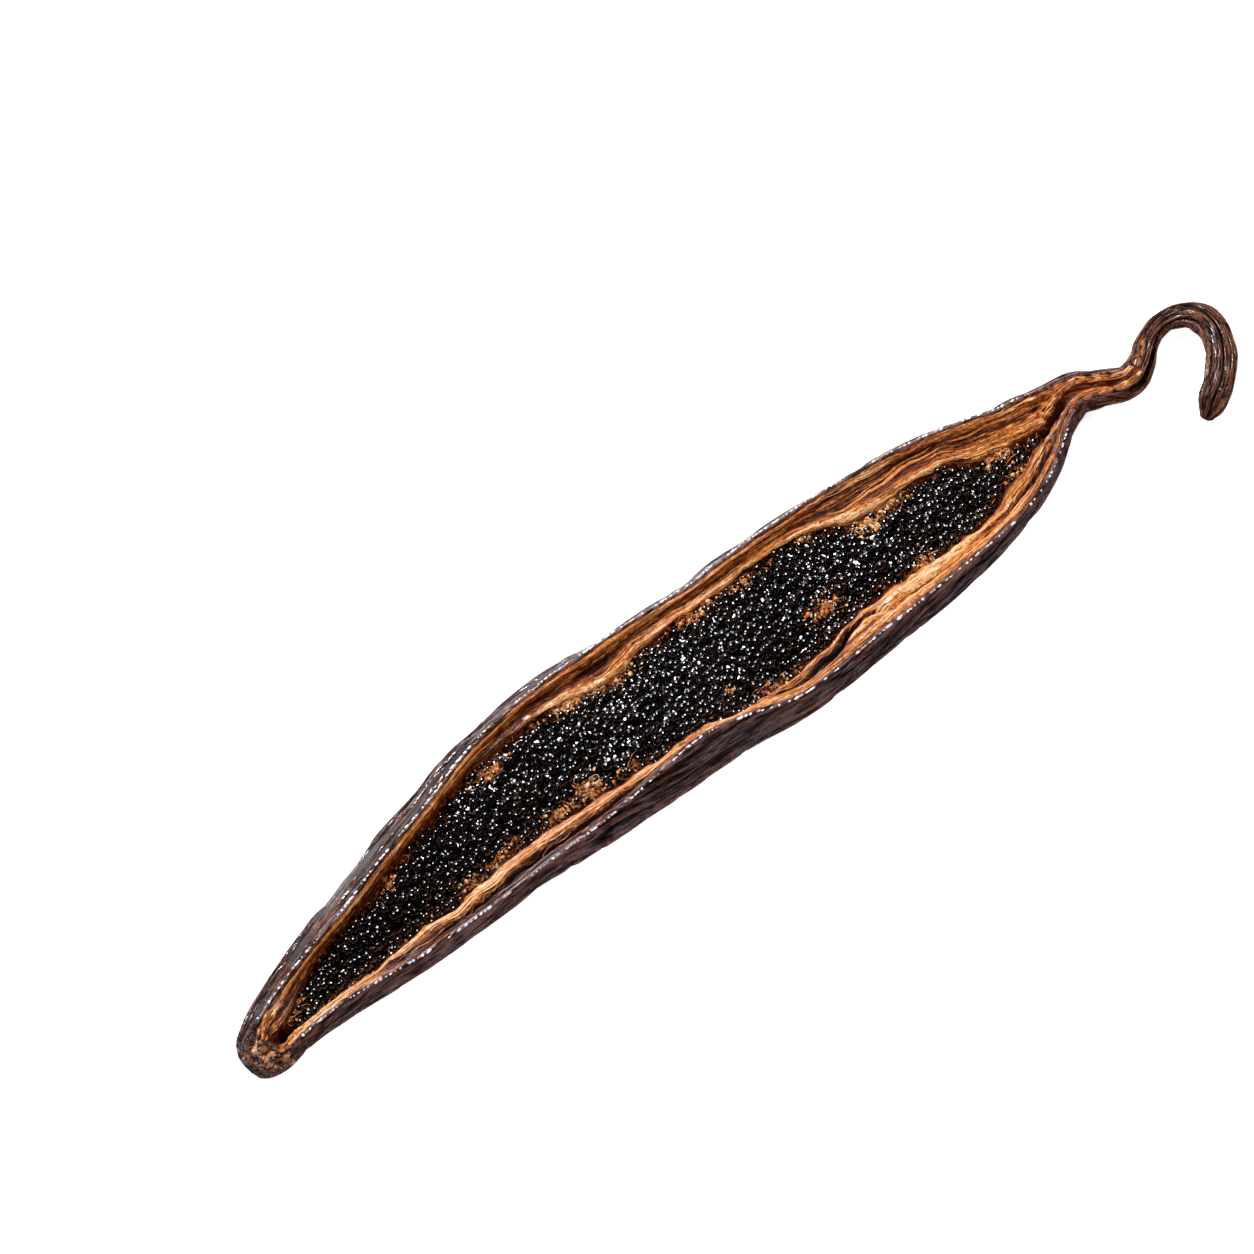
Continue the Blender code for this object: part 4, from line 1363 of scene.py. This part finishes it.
def loose_seeds(sizes):
    """Shapes, points, axes and browning of the seeds that lie on the bed, some piled on others."""
    draw = np.random.default_rng(sizes.seed)
    diameter = sizes.size / MM
    place, u, v, near = seed_places(draw, diameter * 0.9)
    extra = draw.random(len(place)) < sizes.piled
    place, u, near = (np.concatenate([a, a[extra]]) for a in (place, u, near))
    v = np.concatenate([v - SEED_SUNK, v[extra] + 0.42 * diameter])
    place[-extra.sum():] += draw.uniform(-0.4, 0.4, extra.sum())
    count = len(place)
    v = v + draw.uniform(-0.2, 0.18, count)
    radius = 0.5 * diameter * draw.uniform(1 - sizes.spread, 1 + sizes.spread, count)
    points = to_frame(in_space(place, u, v))
    axes = turns(draw, count) * (radius * MM)[:, None, None]
    brown = np.clip(draw.uniform(-0.5, 0.35, count) + 0.45 * near, 0.0, 1.0)
    return lump_kinds(draw, *SEED_LUMPS), points, axes, {"brown": brown}


class POD_OT_seeds(bpy.types.Operator):
    """Build the seed bed and the loose seeds on it"""

    bl_idname = "vanilla_pod.seeds"
    bl_label = "Seeds"

    def execute(self, context):
        material = seed_finish(context.scene.vanilla_pod.colours)
        rings, values = seed_bed_surface()
        finished(shell("seed_bed", to_frame(rings), material, values), "seeds", "seed_mass")
        seeds = loose_seeds(context.scene.vanilla_pod.seeds)
        finished(scatter("loose_seeds", *seeds, material), "seeds")
        return {"FINISHED"}


def tuft_spots(draw, extra):
    """Place, u, tone and radius of the crumbs of every tuft, then of extra ones along both edges."""
    rows = []
    for place, share, long, wide, count, tone in TUFTS:
        edge = seed_edges(np.array(place))
        middle = float(edge[2] + share * (edge[0] - edge[2]))
        for _ in range(TUFT_CROWD * count):
            away = draw.normal(0.0, 0.55, 2)
            rows.append((place + long * away[0], middle + wide * away[1],
                         tone + draw.normal(0.05, 0.3), 0.07 + 0.18 * draw.random() ** 2))
    for _ in range(extra):
        place = draw.uniform(SEEDS_FROM, SEEDS_TO)
        edge = seed_edges(np.array(place))
        inwards = abs(draw.normal(0.0, 0.55))
        u = float(edge[0]) - inwards if draw.random() < 0.6 else float(edge[2]) + inwards
        rows.append((place, u, draw.uniform(0.05, 0.6) ** 1.2, 0.06 + 0.14 * draw.random() ** 2))
    return np.array(rows).T


def torn_fibre(draw, place, u, v, tone, longest):
    """Path, widths and tone of one curled fibre that starts at a crumb."""
    steps = np.linspace(0.0, 1.0, TORN_POINTS)
    length = longest / MM * draw.uniform(0.15, 1.0) ** 1.8
    way = draw.normal(0.0, 0.7) + (math.pi if draw.random() < 0.5 else 0.0)
    turn = way + draw.normal(0.0, 1.3) * steps
    along_pod = place + draw.normal(0.0, 0.5) + length * steps * np.cos(turn)
    across = u + draw.normal(0.0, 0.3) + 0.6 * length * steps * np.sin(turn)
    rise = v + 0.15 + draw.uniform(0.1, 0.5) * np.sin(math.pi * steps) - 0.2 * steps
    taper = np.sin(math.pi * (0.12 + 0.86 * steps)) ** 0.6
    wide = draw.uniform(0.015, 0.04)
    return (to_frame(in_space(along_pod, across, rise)),
            np.stack([wide * taper, 0.7 * wide * taper], axis=-1) * MM,
            np.clip(tone + draw.normal(0.05, 0.15), 0.05, 1.0))


class POD_OT_torn_fibres(bpy.types.Operator):
    """Build the torn fibres and crumbs that lie where the flesh meets the seeds"""

    bl_idname = "vanilla_pod.torn_fibres"
    bl_label = "Torn Fibres"

    def execute(self, context):
        sizes = context.scene.vanilla_pod.shreds
        material = flesh_shreds(context.scene.vanilla_pod.colours)
        draw = np.random.default_rng(52)
        place, u, tone, radius = tuft_spots(draw, sizes.crumbs)
        edge = seed_edges(place)
        _, v = bed_top(place, (u - edge[2]) / (edge[0] - edge[2]))
        v = v + draw.uniform(0.0, 0.4, len(place))
        points = to_frame(in_space(place, u, v))
        stretch = draw.uniform(0.4, 1.9, (len(place), 3))
        axes = stretch[:, :, None] * turns(draw, len(place)) * (radius * MM)[:, None, None]
        crumbs = scatter("flesh_crumbs", lump_kinds(draw, *CRUMB_LUMPS), points, axes,
                         {"tone": np.clip(tone, 0.0, 1.0)}, material)
        finished(crumbs, "flesh")
        fibres = [torn_fibre(draw, place[i], u[i], v[i], tone[i], sizes.length)
                  for i in draw.integers(0, len(place), sizes.count)]
        paths, widths, tones = (np.array(part) for part in zip(*fibres))
        finished(strands("torn_fibres", paths, widths, material, {"tone": tones}), "flesh")
        return {"FINISHED"}


def long_fibres(sizes):
    """Paths, widths and tones of the fibres along both flanks, then of the broad strips."""
    draw = np.random.default_rng(54)
    count = sizes.long_count
    steps = np.linspace(0.0, 1.0, LONG_POINTS)
    broad = np.array(STRIPS)
    sides = np.concatenate([np.where(draw.random(count) < 0.55, 1, -1), broad[:, 0]])
    middle = draw.uniform(6.0, 136.0, count)[:, None]
    length = (sizes.long_length / MM * draw.uniform(0.2, 1.0, count) ** 1.4)[:, None]
    place = middle + length * (steps - 0.5)
    q = draw.uniform(0.03, 0.95, count)[:, None] + draw.normal(0.0, 0.06, (count, 1)) * (steps - 0.5)
    wide = draw.uniform(0.035, 0.1, count)[:, None] * np.sin(math.pi * (0.05 + 0.9 * steps)) ** 0.5
    start, end, from_q, to_q, half, strip_tone = broad.T[1:, :, None]
    place = np.concatenate([place, start + (end - start) * steps])
    q = np.concatenate([q, from_q + (to_q - from_q) * steps])
    uneven = 1 + 0.35 * FLESH_LUMPS(start + 5 * steps, from_q * 9)
    taper = np.sin(math.pi * (0.02 + 0.96 * steps)) ** 0.8
    wide = np.maximum(np.concatenate([wide, half * uneven * taper]), 0.01)
    place = np.clip(place, 4.5, 138.5)
    q = np.clip(q + 0.02 * np.sin(0.7 * place + 7 * steps), 0.02, 0.98)
    paths, tones = np.zeros((*place.shape, 3)), np.zeros(len(place))
    for side in (1, -1):
        mine = sides == side
        cut = Sections(place[mine].ravel())
        u, v, tone, _, _, deep = flesh_side(cut, side, q[mine].reshape(-1, 1))
        points = in_space(cut.places, u, v + 0.02)[:, 0]
        paths[mine] = to_frame(points).reshape(-1, len(steps), 3)
        # The fibres take the flesh's tone with its painted light and shade, and painted shade in the
        # slit.
        tones[mine] = (tone * (1 - deep)).reshape(-1, len(steps)).mean(axis=1)
    tones[:count] = np.clip(0.9 * tones[:count] + draw.normal(0.05, 0.2, count), 0.0, 1.0)
    tones[count:] = np.where(broad[:, 0] > 0, 0.68, 0.82) * strip_tone[:, 0]
    widths = np.stack([wide, 0.6 * np.minimum(wide, 0.12)], axis=-1) * MM
    return paths, widths, tones


class POD_OT_long_fibres(bpy.types.Operator):
    """Build the long fibres that run along both flanks of the flesh"""

    bl_idname = "vanilla_pod.long_fibres"
    bl_label = "Long Fibres"

    def execute(self, context):
        paths, widths, tones = long_fibres(context.scene.vanilla_pod.shreds)
        material = flesh_shreds(context.scene.vanilla_pod.colours)
        finished(strands("long_fibres", paths, widths, material, {"tone": tones}), "flesh")
        return {"FINISHED"}


def rim_beads(pitch):
    """Shapes, points and axes of the beads along both rims, with gaps here and there."""
    draw = np.random.default_rng(53)
    kinds = lump_kinds(draw, *BEAD_LUMPS)
    points, axes = [], []
    for side in (1, -1):
        places = np.arange(BEADS_FROM, BEADS_TO, pitch)
        places = places + draw.uniform(-0.25, 0.25, len(places)) * pitch
        cut = Sections(places)
        u, v = cut.on_husk(cut.left if side > 0 else -cut.right, 0.12)
        v = v - FLAT_SINK + rim_wander(cut.places, side > 0)
        spots = to_frame(in_space(cut.places, u, v + 0.1))[:, 0]
        for spot, (way_x, way_y), place in zip(spots, LINE.heading(places), places):
            grown = 0.95 + 0.55 * TEAR(place / 9.0, 31.0 * side)
            wide = grown * draw.uniform(0.1, 0.19)
            long = wide * draw.uniform(1.0, 2.6)
            high = wide * draw.uniform(0.9, 1.2)
            if TEAR(place / 4.0, 20.0 * side) < -0.25 or draw.random() < 0.12:
                continue
            points.append(spot)
            axes.append(np.array([[way_x * long, way_y * long, 0.0],
                                  [-way_y * wide, way_x * wide, 0.0], [0.0, 0.0, high]]) * MM)
    return kinds, points, axes, {}


class POD_OT_rim_beads(bpy.types.Operator):
    """Build the small dried beads along both cut rims"""

    bl_idname = "vanilla_pod.rim_beads"
    bl_label = "Rim Beads"

    def execute(self, context):
        pod = context.scene.vanilla_pod
        beads = rim_beads(pod.shreds.bead_pitch / MM)
        finished(scatter("rim_beads", *beads, bead_finish(pod.colours)), "husk_skin")
        return {"FINISHED"}


def sun_window(name, place, aim, size, power, mirrored):
    """A soft light that faces a point; it shows in the pod's gloss only if it is mirrored."""
    lamp = bpy.data.lights.new(name, "AREA")
    lamp.shape = "RECTANGLE"
    lamp.size, lamp.size_y = size
    lamp.energy = power
    lamp.color = LIGHT_COLOUR
    made = bpy.data.objects.new(name, lamp)
    bpy.context.scene.collection.objects.link(made)
    made.location = place
    made.visible_glossy = mirrored
    way = np.array(aim) - np.array(place)
    made.rotation_euler = (math.atan2(math.hypot(way[0], way[1]), -way[2]), 0.0,
                           math.atan2(way[1], way[0]) - math.pi / 2)


class POD_OT_stage(bpy.types.Operator):
    """Set up the pale floor, the soft light and the camera"""

    bl_idname = "vanilla_pod.stage"
    bl_label = "Stage"

    def execute(self, context):
        scene, sizes = context.scene, context.scene.vanilla_pod.stage
        turn, tilt = math.radians(CAMERA_TURN), math.radians(CAMERA_TILT)
        right = np.array([math.cos(turn), math.sin(turn), 0.0])
        ahead = np.array([-math.sin(turn), math.cos(turn), 0.0])
        up = np.array([0.0, 0.0, 1.0])
        self.floor(sizes)
        for name, (to_right, forward, high), size, power, mirrored in WINDOWS:
            place = POD_MIDDLE + to_right * right + forward * ahead + high * up
            sun_window(name, place, POD_MIDDLE, size, getattr(sizes, power), mirrored)

        scene.world = bpy.data.worlds.new("studio_air")
        air = Nodes(scene.world, "Background")
        way = air.node("ShaderNodeTexCoord", output="Generated")
        height = air.node("ShaderNodeSeparateXYZ", sockets={0: way}, output="Z")
        air.put(air.surface.inputs["Color"], (1.0, 1.0, 1.0))
        air.put(air.surface.inputs["Strength"], air.step(height, *AIR_HEIGHTS, *AIR_GLOW))

        lens = bpy.data.cameras.new("studio_camera")
        lens.lens = CAMERA_LENS
        lens.sensor_width = 36.0
        lens.clip_start = 0.01
        lens.clip_end = 60.0
        camera = bpy.data.objects.new("studio_camera", lens)
        scene.collection.objects.link(camera)
        back = -math.sin(tilt) * ahead + math.cos(tilt) * up
        camera.location = to_frame(np.array(CAMERA_AIM)) + back * sizes.camera_distance
        camera.rotation_euler = (tilt, 0.0, turn)
        scene.camera = camera
        scene.view_settings.view_transform = "Standard"
        return {"FINISHED"}

    def floor(self, sizes):
        """The floor in two halves: the nearer one lights the pod but isn't mirrored in its gloss."""
        finish = Finish("studio_floor")
        tint = tuple(c * 0.985 for c in sizes.floor_colour)
        mottle = finish.step(finish.noise(finish.where(), 3.0), 0.3, 0.7)
        finish.shader(Base_Color=finish.blend(mottle, tint, sizes.floor_colour), Roughness=0.8,
                      Specular_IOR_Level=0.2, Emission_Strength=sizes.floor_glow,
                      Emission_Color=sizes.floor_colour)
        reach = FLOOR_REACH
        for name, side, mirrored in (("studio_floor", -1, False), ("studio_floor_back", 1, True)):
            far = side * reach
            corners = np.array([(-reach, 0, 0), (-reach, far, 0), (reach, far, 0), (reach, 0, 0)])
            half = solid(name, corners[::-side], [(0, 1, 2, 3)], finish.material)
            half.visible_glossy = mirrored


OPERATORS = [POD_OT_husk_skin, POD_OT_flesh, POD_OT_seeds, POD_OT_torn_fibres, POD_OT_long_fibres,
             POD_OT_rim_beads, POD_OT_stage]


class POD_PT_panel(bpy.types.Panel):
    """Buttons and settings of the vanilla pod"""

    bl_idname = "POD_PT_panel"
    bl_label = "Vanilla Pod"
    bl_space_type = "VIEW_3D"
    bl_region_type = "UI"
    bl_category = "Vanilla Pod"

    def draw(self, context):
        settings = context.scene.vanilla_pod
        for operator in OPERATORS:
            self.layout.operator(operator.bl_idname)
        for group in (settings.seeds, settings.shreds, settings.stage, settings.colours):
            box = self.layout.box()
            for key in group.__annotations__:
                box.prop(group, key)


CLASSES = [PodColours, PodSeeds, PodShreds, PodStage, PodSettings, *OPERATORS, POD_PT_panel]


def register():
    """Add the pod's settings, operators and panel."""
    for made in CLASSES:
        bpy.utils.register_class(made)
    bpy.types.Scene.vanilla_pod = PointerProperty(type=PodSettings)


def unregister():
    """Take them away again."""
    del bpy.types.Scene.vanilla_pod
    for made in reversed(CLASSES):
        bpy.utils.unregister_class(made)


def main():
    """Build every piece and the stage."""
    register()
    bpy.ops.vanilla_pod.husk_skin()
    bpy.ops.vanilla_pod.flesh()
    bpy.ops.vanilla_pod.seeds()
    bpy.ops.vanilla_pod.torn_fibres()
    bpy.ops.vanilla_pod.long_fibres()
    bpy.ops.vanilla_pod.rim_beads()
    bpy.ops.vanilla_pod.stage()


if __name__ == "__main__":
    main()
